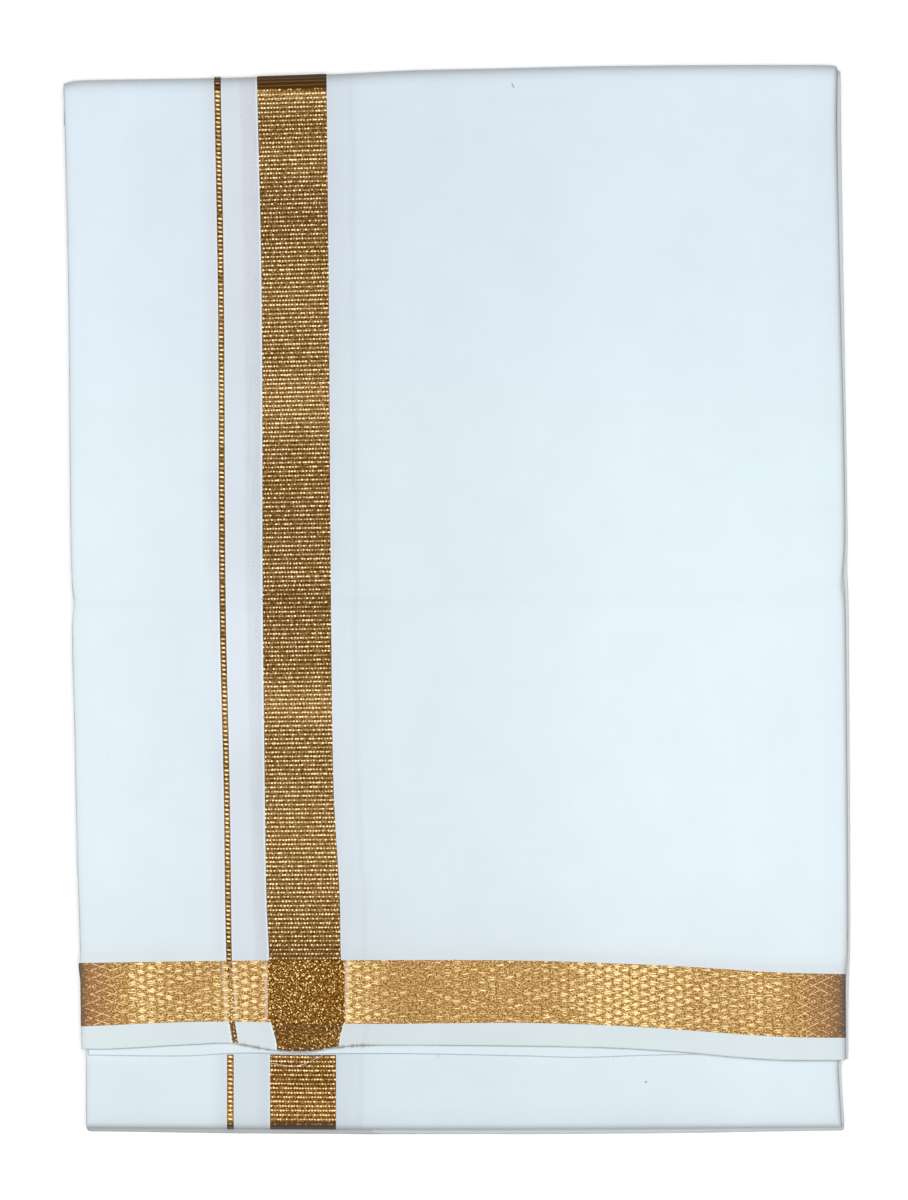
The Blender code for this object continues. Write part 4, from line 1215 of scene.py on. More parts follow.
# Where the cloth lies, in soft steps over the places that read_cotton gives. The steps of a row are
# multiplied, and the rows of a table are added up.
BELOW_FRONT = Step("foot", 60.0, 45.0)
RIGHT_HALF = Step("x", -1.0, 1.0)
ABOVE_BAND = Step("v", -178.0, -150.0)
PAST_BORDER = Step("from_right", -2.0, 0.0)

# The cotton's painted light and shade: broad steps of brightness for how the light falls over the front.
PAINTED_LIGHT_STEPS = (
    # Painted light: brighter towards the right and the foot, and in the panels at the right and the left.
    (Step("x", -20.0, 130.0, 0.0, 0.035), Step("v", 160.0, -40.0), ABOVE_BAND),
    (Step("x", 30.0, 70.0, 0.0, 0.028), ABOVE_BAND),
    (Step("x", -104.0, -160.0, 0.0, 0.050), Step("v", -200.0, -188.0)),
    (Step("x", 85.0, 125.0, -0.028, 0.012), BELOW_FRONT),
    (Step("x", 90.0, 130.0, 0.0, 0.03), Step("above_band", -24.0, -27.0)),
    # Painted shade: darker towards the top, beside the border, along the right side and over the bottom fold.
    (Step("v", 90.0, 215.0, 0.0, -0.012),),
    (Step("from_right", 0.0, 34.0, -0.032, 0.0), PAST_BORDER),
    (Step("from_right", 45.0, 95.0, -0.022, 0.0), PAST_BORDER),
    (Step("side", 0.0, 14.0, -0.02, 0.0), RIGHT_HALF),
    (Step("foot", 5.0, 13.0, -0.035, 0.0),),
)
# Slubs along both threads, and noise over the whole front: its scale, its roughness and how much it changes.
SLUBS = 0.030
MOTTLES = table("scale roughness amount", [(1.3, 0.6, 0.020), (0.045, 0.5, 0.060), (0.013, 0.5, 0.050)])
# The painted shade in the pressed crease: its line, how wide the shade reaches, and how dark it is, unevenly
# along the crease.
CREASE_TONE_SLANT = -0.011
CREASE_TONE_DROP = 1.4
CREASE_TONE_REACH = (0.4, 4.6, 1.0, 0.0)
CREASE_SHADE = (0.35, 0.65, -0.002, -0.018)

# How far the duller tone round the gold reaches on either side, how it changes, and how much more there is
# close to the border.
ROUND_GOLD = (Step("line", -10.5, -3.0), Step("from_right", 0.0, 16.0, 1.0, 0.0))
CLOSE_TO_GOLD = Step("from_right", 0.2, 2.6, 0.6, 0.0)
ROUND_GOLD_TONE = -0.026
ROUND_GOLD_CHANGES = (
    (Step("v", -75.0, -45.0), Step("v", 20.0, -10.0, 0.0, 0.045)),
    (Step("above_band", -24.0, -27.0, 0.0, 0.020),),
    (Step("foot", 60.0, 45.0, 0.0, -0.022),),
)
# The faint line of the plies' own border below: where it lies, how far it wavers and how dull it is.
BORDER_BELOW = (9.2, 11.4, 1.1)
BORDER_BELOW_WAVER = 4.0
BORDER_BELOW_TONE = -0.034

# The sheer strip left of the border starts further out towards the top, and its threads are uneven.
SHEER_START = Step("v", -140.0, 60.0, -5.6, -7.2)
SHEER_SIDE = (-1.4, 1.4, 0.0, 0.66)
SHEER_AT_BORDER = Step("from_left", -5.0, -1.2, 0.0, 0.34)
SHEER_THREADS = (0.12, 0.38, 0.55, 1.25)
SHEER_WITHIN = (
    Step("from_left", 0.2, 0.8, 1.0, 0.0), Step("above_band", -27.0, -25.0, 0.30, 1.0),
    Step("foot", 60.0, 45.0, 1.0, 0.4),
)
# The sheer rows over the end band end unevenly.
SHEER_ROWS = (3.2, 6.4, 1.0, 0.0)
SHEER_ROWS_UNEVEN = 2.4
SHEER_ROWS_WITHIN = (Step("above_band", -1.0, 0.0), Step("x", 5.0, 30.0, 0.06, 0.38))

# The tints: cooler towards the top, greyer towards the band and below it, and lilac round the gold.
COOLER = Step("v", 20.0, 150.0)
GREYER = ((Step("above_band", 48.0, 4.0, 0.0, 0.5),), (Step("above_band", 11.0, 2.0, 0.0, 0.4),))
GREY_BELOW_BAND = Step("above_band", -25.0, -27.0)
LILAC = ((Step("above_band", -27.0, -24.0, 0.08, 0.42),), (Step("foot", 60.0, 45.0, 0.0, -0.28),))
# Bare warp beside the border's left and right edges and the thin line: from, to and how soft.
BARE_WARP = (("from_left", -0.75, 0.3, 0.2), ("from_right", -0.3, 0.55, 0.2), ("line", -3.4, 0.45, 0.25))
BARE_WARP_TINT = 0.8
BARE_WARP_TONE = 0.045

# Painted shade where the cloth turns away from the light: darker along its right and left sides, over the top
# and bottom folds, and at its cut end.
RIGHT_RIM = ((Step("side", -0.3, 1.7, 0.56, 0.0),), (Step("side", 0.0, 3.4, 0.20, 0.0),))
RIGHT_RIM_WITHIN = (Step("side", -0.6, -0.2, 0.46, 1.0), Step("v", 150.0, 210.0, 1.0, 1.25))
LEFT_RIM = ((Step("side", -0.3, 0.9, 0.54, 0.0),), (Step("side", 0.0, 2.6, 0.12, 0.0),))
TOP_RIM = ((Step("fold", 2.0, 7.5, 0.45, 0.0),), (Step("fold", 7.0, 11.0, 0.05, 0.0),))
FOOT_RIM = ((Step("foot", -0.2, 4.4, 0.52, 0.0),), (Step("foot", 0.0, 6.5, 0.18, 0.0),))
# The cut end lifts beside the border, where its threads are frayed and the painted shadow under its edge is
# wider, darker and uneven.
LIFTED = ((-92.0, -78.0, 3.0), (-51.0, -35.0, 3.0))
UNEVEN_SHADOW = (0.36, 0.58)
CUT_END_WIDTH = (0.7, 0.8)
CUT_END_SHADOW = (0.62, 0.30)

# Two small marks: their place, half their size both ways, how they lean, and how dark they are to their edge.
MARKS = table("x v wide high lean", [(23.9, 215.7, 0.42, 1.15, 0.45), (79.8, -202.9, 0.55, 0.55, 0.0)])
MARK_EDGE = (0.6, 1.2, 0.62, 0.0)

# Noise drawn out along the threads: how fast it changes across and along the cloth, its start, its detail.
Streaks = namedtuple("Streaks", "across along start detail", defaults=(2.0,))
WARP = Streaks(0.85, 0.022, 0.0, 3.0)
WEFT = Streaks(0.02, 0.9, 4.0, 3.0)
SHEER_WARP = Streaks(1.9, 0.05, 7.0)
SHEER_WEFT = Streaks(0.35, 1.25, 2.0)
# The weave's relief: how far its threads wander, and how high they and the slubs are.
THREADS_WANDER = 0.6
THREAD_HEIGHT = 0.35
SLUB_HEIGHT = 1.6

# The gold's finishes: its darkest, middle and brightest colour, the size of its grains along x and v, how
# much the tone changes from grain to grain, from speck to speck and with the glint, its level, how far the
# threads stand out, how dull it is where it doesn't glint, and how much of the lower ply's warmth it takes.
GOLD_FINISHES = {
    finish.name: finish
    for finish in table("name colours grain stretch speck by_glint level relief dull warm", [
        ("border ground", "groove ground spark", (1.1, 0.8), 0.8, 0.7, 0.3, 0.42, 0.04, 0.0, 1.0),
        ("border rib", "ground rib float", (0.9, 2.5), 0.6, 0.5, 0.5, 0.47, 0.05, 0.0, 1.0),
        ("border float", "float bright bright", (0.9, 1.6), 1.7, 0.9, 0.5, 0.49, 0.04, 0.0, 0.5),
        ("line bead", "bead bead_bright bead_bright", (2.2, 2.0), 1.0, 0.6, 0.5, 0.54, 0.04, 0.0, 0.0),
        (
            "crossing ground", "crossing_groove crossing_ground crossing_spark",
            (0.8, 0.8), 1.0, 1.0, 0.3, 0.47, 0.04, 0.0, 0.0,
        ),
        (
            "crossing float", "crossing_dark crossing_float crossing_bright",
            (0.8, 0.8), 2.1, 0.6, 0.5, 0.50, 0.04, 0.0, 0.0,
        ),
        ("band ground", "band_groove band band_spark", (0.8, 0.6), 1.4, 1.3, 0.04, 0.50, 0.04, 0.60, 0.0),
        ("band lattice", "dull lattice lattice", (1.2, 1.2), 1.0, 1.0, 0.06, 0.55, 0.1, 0.0, 0.0),
        ("band speck", "band band_spark lens", (0.7, 0.6), 2.2, 0.9, 0.40, 0.475, 0.04, 0.25, 0.0),
        ("band float", "band_spark lens lens", (1.6, 0.8), 0.9, 0.8, 0.5, 0.56, 0.04, 0.0, 0.0),
    ])
}
GOLD_SPECKS_SCALE = 1.7
# How far the grains' noise moves along x and v for each step of the seed.
SEED_SHIFT = (3.1, 1.7)
# What even gold has for a glint, and the glints from which the foil gets dull and at which it is dullest.
EVEN_GLINT = 0.75
FOIL_DULLS = (-0.1, -1.2)
# The gold on the lower ply is warmer by this much, below this place.
WARMER = (1.03, 0.93, 0.72)
LOWER_PLY_FROM = (-191.0, -193.0)

Cotton = namedtuple("Cotton", "x v from_left from_right above_band side end fold line foot")


def new_material(name):
    material = bpy.data.materials.new(name)
    material.use_nodes = True
    return material, Nodes(material.node_tree), material.node_tree.nodes["Principled BSDF"]


def opaque(colour):
    return (*colour, 1.0)


def bumps(nodes, strength, depth, height):
    return nodes.add("ShaderNodeBump", {0: strength, 1: depth, 3: height})


def read_cotton(nodes, spot):
    """Where a place lies on the unrolled cloth, beside the gold, and in from the edges."""
    x, v, _ = nodes.split(spot)
    beside, inset = (nodes.split(nodes.attribute(name, out=1)) for name in ("beside", "inset"))
    return Cotton(x, v, *beside, *inset, nodes.attribute("line"), nodes.attribute("foot"))


def level_of(nodes, at, step):
    return nodes.smooth(getattr(at, step.place), *step[1:])


def product(nodes, at, steps):
    levels = [level_of(nodes, at, step) for step in steps]
    return reduce(nodes.times, levels)


def total(nodes, at, rows, start=None):
    sums = [product(nodes, at, steps) for steps in rows]
    return reduce(nodes.plus, sums if start is None else [start, *sums])


def streaks(nodes, at, look):
    """Noise that is drawn out along the warp or the weft."""
    spot = nodes.join(nodes.times(at.x, look.across), nodes.times(at.v, look.along), look.start)
    return nodes.noise(spot, 1.0, look.detail, 0.6)


def ragged_across(nodes, at, scale, start, detail=2.0, roughness=0.5):
    """Noise that only changes across the cloth."""
    return nodes.noise(nodes.join(nodes.times(at.x, scale), start), 1.0, detail, roughness)


def cotton_tone(nodes, at, spot, warp, weft):
    """The cotton's slow changes over the whole front, some random and some painted light and shade, its
    slubs, its grain, and the painted shade in the crease.
    """
    tone = nodes.times_plus(warp, SLUBS, nodes.times_plus(weft, SLUBS, 1 - SLUBS))
    for mottle in MOTTLES:
        noise = nodes.noise(spot, mottle.scale, 2.0, mottle.roughness)
        tone = nodes.times_plus(noise, mottle.amount, nodes.less(tone, mottle.amount / 2))
    # Painted light and shade over the whole front.
    tone = total(nodes, at, PAINTED_LIGHT_STEPS, tone)
    # Painted shade along the crease.
    off = nodes.plus(nodes.times_plus(at.x, CREASE_TONE_SLANT, at.v), CREASE_TONE_DROP)
    crease_shade = nodes.smooth(ragged_across(nodes, at, 0.03, 2.0, 1.0), *CREASE_SHADE)
    return nodes.times_plus(crease_shade, nodes.smooth(nodes.math("ABSOLUTE", off), *CREASE_TONE_REACH), tone)


def round_gold(nodes, at, tone):
    """The duller cotton round the gold, with a faint line where the plies' own border lies below."""
    around = product(nodes, at, ROUND_GOLD)
    around = nodes.times_plus(level_of(nodes, at, CLOSE_TO_GOLD), around, around)
    tone = nodes.times_plus(around, total(nodes, at, ROUND_GOLD_CHANGES, ROUND_GOLD_TONE), tone)
    drift = nodes.noise(nodes.join(0.0, nodes.times(at.v, 0.03)))
    waver = nodes.times(nodes.less(drift, 0.5), BORDER_BELOW_WAVER)
    seam = nodes.within(nodes.plus(at.from_right, waver), *BORDER_BELOW)
    return around, nodes.times_plus(seam, BORDER_BELOW_TONE, tone)


def sheer_cotton(nodes, at):
    """How sheer the cotton is: the strip left of the border with its weft, and the rows over the end band."""
    from_start = nodes.less(at.from_left, level_of(nodes, at, SHEER_START))
    sheer = nodes.plus(nodes.smooth(from_start, *SHEER_SIDE), level_of(nodes, at, SHEER_AT_BORDER))
    threads = nodes.times(streaks(nodes, at, SHEER_WARP), streaks(nodes, at, SHEER_WEFT))
    sheer = nodes.times(sheer, nodes.smooth(threads, *SHEER_THREADS))
    sheer = nodes.times(sheer, product(nodes, at, SHEER_WITHIN))
    ragged_rows = nodes.times_plus(ragged_across(nodes, at, 0.8, 5.0), SHEER_ROWS_UNEVEN, at.above_band)
    rows = nodes.times(nodes.smooth(ragged_rows, *SHEER_ROWS), product(nodes, at, SHEER_ROWS_WITHIN))
    return nodes.most(sheer, rows)


def cotton_tints(nodes, at, cloth, around):
    """The cotton's own colour, cooler towards the top, greyer near the band and lilac round the gold."""
    plain = nodes.mix(level_of(nodes, at, COOLER), opaque(cloth.colour), opaque(cloth.cool_colour))
    grey = nodes.most(total(nodes, at, GREYER), level_of(nodes, at, GREY_BELOW_BAND))
    plain = nodes.mix(grey, plain, opaque(cloth.hem_colour))
    return nodes.mix(nodes.times(around, total(nodes, at, LILAC)), plain, opaque(cloth.near_gold_colour))


def painted_rim_shade(nodes, at):
    """The painted shade along the cloth's sides, its folds and its cut end, and where it passes the front."""
    left = total(nodes, at, LEFT_RIM)
    right = nodes.times(total(nodes, at, RIGHT_RIM), product(nodes, at, RIGHT_RIM_WITHIN))
    rim = nodes.times_plus(level_of(nodes, at, RIGHT_HALF), nodes.less(right, left), left)
    for fold_rim in (TOP_RIM, FOOT_RIM):
        rim = nodes.most(rim, total(nodes, at, fold_rim))
    # Painted shadow under the lifted cut end, wider, darker and uneven beside the border.
    lifted = nodes.most(*(nodes.within(at.x, *stretch) for stretch in LIFTED))
    uneven_shadow = nodes.times(lifted, nodes.smooth(ragged_across(nodes, at, 0.34, 9.0, 3.0, 0.75), *UNEVEN_SHADOW))
    width = nodes.times_plus(uneven_shadow, *CUT_END_WIDTH)
    at_end = nodes.smooth(nodes.math("ABSOLUTE", at.end), 0.0, width, 1.0, 0.0)
    return nodes.most(rim, nodes.times(at_end, nodes.times_plus(uneven_shadow, *CUT_END_SHADOW)))


def cotton_marks(nodes, at):
    marks = 0.0
    for mark in MARKS:
        off_v = nodes.less(at.v, mark.v)
        off_x = nodes.times_plus(off_v, mark.lean, nodes.less(at.x, mark.x))
        off = nodes.join(nodes.divided(off_x, mark.wide), nodes.divided(off_v, mark.high))
        away = nodes.add("ShaderNodeVectorMath", {0: off}, out="Value", operation="LENGTH")
        marks = nodes.plus(marks, nodes.smooth(away, *MARK_EDGE))
    return marks


def plain_weave(nodes, at, spot, warp, weft, thread):
    """The height of the plain weave, each thread over and under the next."""
    turn = math.pi * MM / thread
    loose = nodes.times(nodes.less(nodes.noise(spot, 0.5), 0.5), THREADS_WANDER)
    over = nodes.math("SINE", nodes.times(nodes.plus(at.x, loose), turn))
    under = nodes.math("SINE", nodes.times(nodes.plus(at.v, loose), turn))
    slubs = nodes.times(nodes.plus(warp, weft), SLUB_HEIGHT)
    return nodes.times_plus(nodes.times(over, under), THREAD_HEIGHT, slubs)


def cotton_material():
    """Pressed plain-woven cotton, sheerer beside the border, greyer along its hem, with painted shade along
    its folds and edges.
    """
    name = "fine cotton"
    if name in bpy.data.materials:
        return bpy.data.materials[name]
    cloth = bpy.context.scene.dhoti_cloth
    material, nodes, shader = new_material(name)
    uv = nodes.add("ShaderNodeUVMap", uv_map="cloth")
    spot = nodes.scaled(nodes.vector("SUBTRACT", uv, (UV_SHIFT, UV_SHIFT, 0.0)), 1 / MM)
    at = read_cotton(nodes, spot)
    warp, weft = streaks(nodes, at, WARP), streaks(nodes, at, WEFT)
    around, tone = round_gold(nodes, at, cotton_tone(nodes, at, spot, warp, weft))
    plain = cotton_tints(nodes, at, cloth, around)
    colour = nodes.mix(sheer_cotton(nodes, at), plain, opaque(cloth.veil_colour))

    # Bare warp shows a little whiter along the border and the thin line.
    bare = [nodes.within(getattr(at, place_name), *reach) for place_name, *reach in BARE_WARP]
    white = reduce(nodes.most, bare)
    colour = nodes.mix(nodes.times(white, BARE_WARP_TINT), colour, opaque(cloth.colour))
    tone = nodes.times_plus(white, BARE_WARP_TONE, tone)

    # Painted shade along the sides, the folds and the cut end, where the light falls off.
    colour = nodes.mix(painted_rim_shade(nodes, at), colour, opaque(cloth.rim_shade_colour))
    colour = nodes.mix(cotton_marks(nodes, at), colour, opaque(cloth.mark_colour))
    height = plain_weave(nodes, at, spot, warp, weft, cloth.thread)
    nodes.fill(shader, {
        "Base Color": nodes.mix(1.0, colour, nodes.join(tone, tone, tone), "MULTIPLY"),
        "Roughness": cloth.roughness,
        "Specular IOR Level": 0.25,
        "Sheen Weight": cloth.sheen,
        "Sheen Roughness": 0.45,
        "Normal": bumps(nodes, 0.5, cloth.relief, height),
    })
    return material


def gold_material(name):
    """Gold thread in three colours, in grains of a size along x and v, with painted shade where it folds
    away.
    """
    if name in bpy.data.materials:
        return bpy.data.materials[name]
    finish, gold = GOLD_FINISHES[name], bpy.context.scene.dhoti_gold
    dark, middle, bright = (getattr(gold, colour + "_colour") for colour in finish.colours.split())
    material, nodes, shader = new_material(name)
    weave = nodes.attribute("weave", out=1)
    glint, shade = nodes.attribute("glint"), nodes.attribute("shade")
    on_lower_ply = nodes.smooth(nodes.split(weave)[1], *LOWER_PLY_FROM, 0.0, finish.warm)
    weave = nodes.vector("ADD", weave, (*(shift * gold.seed for shift in SEED_SHIFT), 0.0))
    stretches = nodes.noise(nodes.vector("DIVIDE", weave, (*finish.grain, 1.0)), 1.0, 1.0, 0.5)
    specks = nodes.noise(weave, GOLD_SPECKS_SCALE, 1.0, 0.5)
    tone = nodes.times_plus(nodes.less(stretches, 0.5), finish.stretch, finish.level)
    tone = nodes.times_plus(nodes.less(specks, 0.5), finish.speck, tone)
    # Painted highlight: the gold is brighter where it glints more.
    tone = nodes.times_plus(nodes.less(glint, EVEN_GLINT), finish.by_glint, tone)
    colour = nodes.ramp(tone, (0.30, dark), (0.5, middle), (0.70, bright))
    dull = nodes.smooth(glint, *FOIL_DULLS, 0.0, finish.dull)
    colour = nodes.mix(dull, colour, opaque(gold.dull_colour))
    colour = nodes.mix(on_lower_ply, colour, nodes.vector("MULTIPLY", colour, WARMER))
    # The shade value mixes in painted shade where the gold folds away or wraps round a side, and the duller
    # cast below the end band.
    nodes.fill(shader, {
        "Base Color": nodes.mix(shade, colour, opaque(gold.fold_shade_colour)),
        "Roughness": nodes.smooth(tone, 0.3, 0.7, gold.roughness + 0.10, gold.roughness - 0.08),
        "Metallic": gold.metallic,
        "Specular IOR Level": 0.0,
        "Normal": bumps(nodes, 0.6, finish.relief * MM, nodes.plus(stretches, specks)),
    })
    return material


def pale_material():
    """Bare yarn with flecks of gold, beside the crossings."""
    gold = bpy.context.scene.dhoti_gold
    material, nodes, shader = new_material("pale yarn")
    weave = nodes.attribute("weave", out=1)
    flecks = nodes.smooth(nodes.noise(nodes.vector("DIVIDE", weave, (0.7, 0.45, 1.0)), 1.0, 1.0), 0.42, 0.58)
    threads = nodes.noise(nodes.vector("MULTIPLY", weave, (2.4, 0.3, 1.0)), 1.0, 2.0)
    pale = nodes.mix(threads, opaque(gold.pale_colour), opaque(gold.pale_bright_colour))
    colour = nodes.mix(flecks, pale, opaque(gold.band_spark_colour))
    normal = bumps(nodes, 0.6, 0.08 * MM, threads)
    nodes.fill(shader, {"Base Color": colour, "Roughness": 0.7, "Normal": normal})
    return material


def floor_material():
    """Matt white paper with a faint tooth."""
    stage = bpy.context.scene.dhoti_stage
    material, nodes, shader = new_material("floor paper")
    tooth = nodes.noise(nodes.add("ShaderNodeTexCoord", out=3), 900.0, 2.0)
    worn = nodes.smooth(tooth, 0.3, 0.7, 0.0, 0.06)
    nodes.fill(shader, {
        "Base Color": nodes.mix(worn, opaque(stage.floor_colour), opaque(stage.tooth_colour)),
        "Roughness": 0.95,
        "Specular IOR Level": 0.1,
        "Emission Color": (1.0, 1.0, 1.0, 1.0),
        "Emission Strength": stage.floor_glow,
    })
    return material


# ---------------------------------------------------------------- pieces


def settle(piece, slot, *nodes):
    """The piece goes with the parcel and stands for nodes that it replaces. Its slot is not used."""
    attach(piece, "root")
    if nodes:
        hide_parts(*nodes)
    return piece


def make_ground(name, surface, finish, *nodes):
    inputs = {"thickness": GROUND_THICKNESS * MM, "material": gold_material(finish)}
    settle(woven(name, tree_named("Woven ground"), surface, **inputs), "zari", *nodes)


def make_ribs(name, surface, finish, ribs, **changes):
    gold = bpy.context.scene.dhoti_gold
    inputs = {
        "ribs": ribs, "overrun": 0, "steps": 12, "slant": 0.0, "radius": gold.rib_radius, "lift": 0.0,
        "unevenness": 0.16, "waver": 0.25, "swelling": 0.5, "margin": 0.004, "seed": gold.seed,
        "material": gold_material(finish), **changes,
    }
    settle(woven(name, tree_named("Woven ribs"), surface, **inputs), "zari")


def make_flecks(name, surface, finish, across, along, **changes):
    inputs = {
        "across": across, "along": along, "stagger": 0.0, "row_slide": 0.0, "shift_across": 0.0, "turn": 0.0,
        "turn_spread": 0.2, "jitter_along": 0.0, "fill": 1.0, "seed": bpy.context.scene.dhoti_gold.seed,
        "material": gold_material(finish), **changes,
    }
    settle(woven(name, tree_named("Woven flecks"), surface, **inputs), "zari")


def rib_count(length):
    return round(length * MM / bpy.context.scene.dhoti_gold.rib_pitch)


def straight(x):
    """An edge that stays at one x all along."""
    return lambda v: x + 0 * v


def gold_foot(x):
    return front_end(x) + GOLD_FROM_END


def below_flap(x):
    return np.minimum(under_end(x), front_end(x)) - END_GAP


gold_top = partial(fold_row, degrees=GOLD_LAST_DEGREES)
lowest_gold = partial(lower_fold_row, degrees=LOWER_GOLD_LAST_DEGREES)
BORDER_EDGES = (border_left, border_right)
LINE_EDGES = ((lambda v: line_left(v) + LINE_INSET), (lambda v: line_right(v) - LINE_INSET))
LOWEST = GOLD_LINES[0]


def make_ribbed_strip(name, start, stop, sides, put, layer, tones):
    """A stretch of the wide border: its ground, its ribs, and the bright floats on the ribs."""
    point, length = strip_between(start, stop, *sides)
    ribs = rib_count(length)
    surface = lambda: strip_surface(name, point, 10, max(24, round(length / STRIP_STEP)), put, layer, tones)
    make_ground(name + "_ground", surface(), "border ground", name)
    make_ribs(name + "_ribs", surface(), "border rib", ribs, unevenness=RIB_UNEVENNESS)
    make_flecks(
        name + "_floats", surface(), "border float", FLOATS_PER_RIB, ribs,
        length=bpy.context.scene.dhoti_gold.float_length, length_spread=0.7, width=0.86 * MM,
        height=0.15 * MM, lift=0.34 * MM, fill=1.06, by_glint=0.42, jitter_across=0.34, row_slide=0.95,
        jitter_along=0.06, turn=0.12, turn_spread=0.4,
    )


def make_line_strip(name, start, stop, sides, put, layer, tones, node):
    """A stretch of the thin line: its ground, its beads, and the bright top of each bead."""
    point, length = strip_between(start, stop, *sides)
    ribs = rib_count(length)
    surface = lambda: strip_surface(name, point, 4, max(12, round(length / STRIP_STEP)), put, layer, tones)
    make_ground(name + "_ground", surface(), "border ground", node)
    make_ribs(
        name + "_beads", surface(), "border rib", ribs, steps=5, slant=-0.2 / ribs, radius=0.46 * MM,
        margin=0.06, swelling=0.3,
    )
    make_flecks(
        name + "_floats", surface(), "line bead", 1, ribs, jitter_across=0.12, length=1.85 * MM,
        length_spread=0.4, width=0.90 * MM, height=0.18 * MM, lift=0.48 * MM, turn=-0.12, by_glint=0.2,
    )


def make_crossing_strip(name, start, stop, sides, tones, columns, rows, *node):
    """A stretch of gold with no ribs, only short threads that lean both ways."""
    point, length = strip_between(start, stop, *sides)
    surface = lambda: strip_surface(name, point, 10, max(8, round(length / STRIP_STEP)), place, FRONT, tones)
    make_ground(name + "_ground", surface(), "crossing ground", *node)
    for number, turn in enumerate((0.75, -0.75)):
        make_flecks(
            f"{name}_floats_{number + 1}", surface(), "crossing float", columns, rows, turn=turn,
            turn_spread=0.6, length=0.86 * MM, length_spread=0.7, width=0.45 * MM, height=0.12 * MM,
            lift=0.18 * MM, jitter_along=0.9, fill=0.70, jitter_across=0.9, seed=CROSSING_SEED + number,
            by_glint=0.2,
        )


def band_sizes(start, stop):
    """A stretch's length, and its diamonds along and across the band."""
    gold = bpy.context.scene.dhoti_gold
    start, stop = (reach(BAND_MIDDLE) if callable(reach) else reach for reach in (start, stop))
    length = float(stop - start)
    return length, round(length * MM / gold.diamond_length), round(BAND_HEIGHT * MM / gold.diamond_height)


def make_lattice(name, start, stop):
    """The crossed lines of the diamonds, which only show near the band's ends."""
    length, cells, high = band_sizes(start, stop)
    cells = max(1, cells)
    for number, way in enumerate((1.0, -1.0)):
        surface = band_surface(name, start, stop, max(6, round(length / BAND_STEP)))
        make_ribs(
            f"{name}_{number + 1}", surface, "band lattice", cells, overrun=high // 2 + 1, steps=33,
            slant=way * high / cells, radius=0.25 * MM, lift=0.16 * MM, unevenness=0.0, waver=0.05,
            swelling=0.6, margin=0.01,
        )


def make_band_stretch(name, start, stop):
    """A stretch of the end band: its ground, its fine specks, and the bright floats inside its diamonds."""
    length, cells, high = band_sizes(start, stop)
    surface = lambda: band_surface(name, start, stop, max(12, round(length / BAND_STEP)))
    make_ground(name + "_ground", surface(), "band ground", name)
    make_flecks(
        name + "_specks", surface(), "band speck", SPECKS_ACROSS, round(length / SPECK_PITCH),
        jitter_across=0.9, jitter_along=0.9, length=0.78 * MM, length_spread=0.7, width=0.43 * MM,
        height=0.10 * MM, lift=0.16 * MM, turn_spread=1.6, fill=0.86, by_glint=0.45, seed=SPECK_SEED,
    )
    for number, row in enumerate(DIAMOND_FLOATS):
        make_flecks(
            f"{name}_floats_{number + 1}", surface(), "band float", 2 * high, cells, stagger=0.5,
            shift_across=row.shift / (2 * high), jitter_across=0.26, jitter_along=0.15,
            length=row.length * MM, length_spread=0.45, width=row.width * MM, height=0.13 * MM,
            lift=0.23 * MM, turn_spread=0.4, fill=1.05, by_glint=1.1, seed=DIAMOND_SEED + number,
        )


# ---------------------------------------------------------------- operators


class DHOTI_OT_folded_cloth(Operator):
    """Build the hidden plies, which show at the parcel's sides and its foot"""

    bl_idname = "dhoti.folded_cloth"
    bl_label = "Folded cloth"

    def execute(self, context):
        piece = settle(make_folded_cloth(cotton_material()), "cotton", "folded_layers")
        return {"FINISHED"}


class DHOTI_OT_lower_cloth(Operator):
    """Build the ply that shows below the front's end"""

    bl_idname = "dhoti.lower_cloth"
    bl_label = "Lower cloth"

    def execute(self, context):
        piece = settle(make_lower_cloth(cotton_material()), "cotton", "lower_ply")
        return {"FINISHED"}


class DHOTI_OT_flap_under_cloth(Operator):
    """Build the plies under the front, which stand out at its right side and its end"""

    bl_idname = "dhoti.flap_under_cloth"
    bl_label = "Flap under cloth"

    def execute(self, context):
        piece = settle(make_flap_under_cloth(cotton_material()), "cotton", "flap_under_ply")
        threads = settle(make_loose_threads(cotton_material()), "cotton")
        return {"FINISHED"}


class DHOTI_OT_front_cloth(Operator):
    """Build the front's outermost plies"""

    bl_idname = "dhoti.front_cloth"
    bl_label = "Front cloth"

    def execute(self, context):
        piece = settle(make_front_cloth(cotton_material()), "cotton", "front_ply")
        return {"FINISHED"}


class DHOTI_OT_border(Operator):
    """Weave the wide ribbed border, above the end band and below it, and its crossing with the band"""

    bl_idname = "dhoti.border"
    bl_label = "Border"

    def execute(self, context):
        make_ribbed_strip("main_border", band_upper, gold_top, BORDER_EDGES, place, FRONT, BORDER_TONES)
        name, sides = "border_crossing", (straight(CROSSING_LEFT), straight(CROSSING_RIGHT))
        make_crossing_strip(name, band_lower, band_upper, sides, CROSSING_TONES, 34, 32, name)
        sides, node = BORDER_EDGES, "main_border_end"
        make_crossing_strip("border_end", gold_foot, band_lower, sides, BORDER_END_TONES, 31, 14, node)
        return {"FINISHED"}


class DHOTI_OT_thin_line(Operator):
    """Weave the thin line beside the border"""

    bl_idname = "dhoti.thin_line"
    bl_label = "Thin line"

    def execute(self, context):
        name, sides = "thin_line", LINE_EDGES
        make_line_strip(name, band_upper, gold_top, sides, place, FRONT, BORDER_TONES, name)
        name = "thin_line_end"
        make_crossing_strip(name, gold_foot, band_lower, sides, LINE_END_TONES, 4, 14, name)
        return {"FINISHED"}


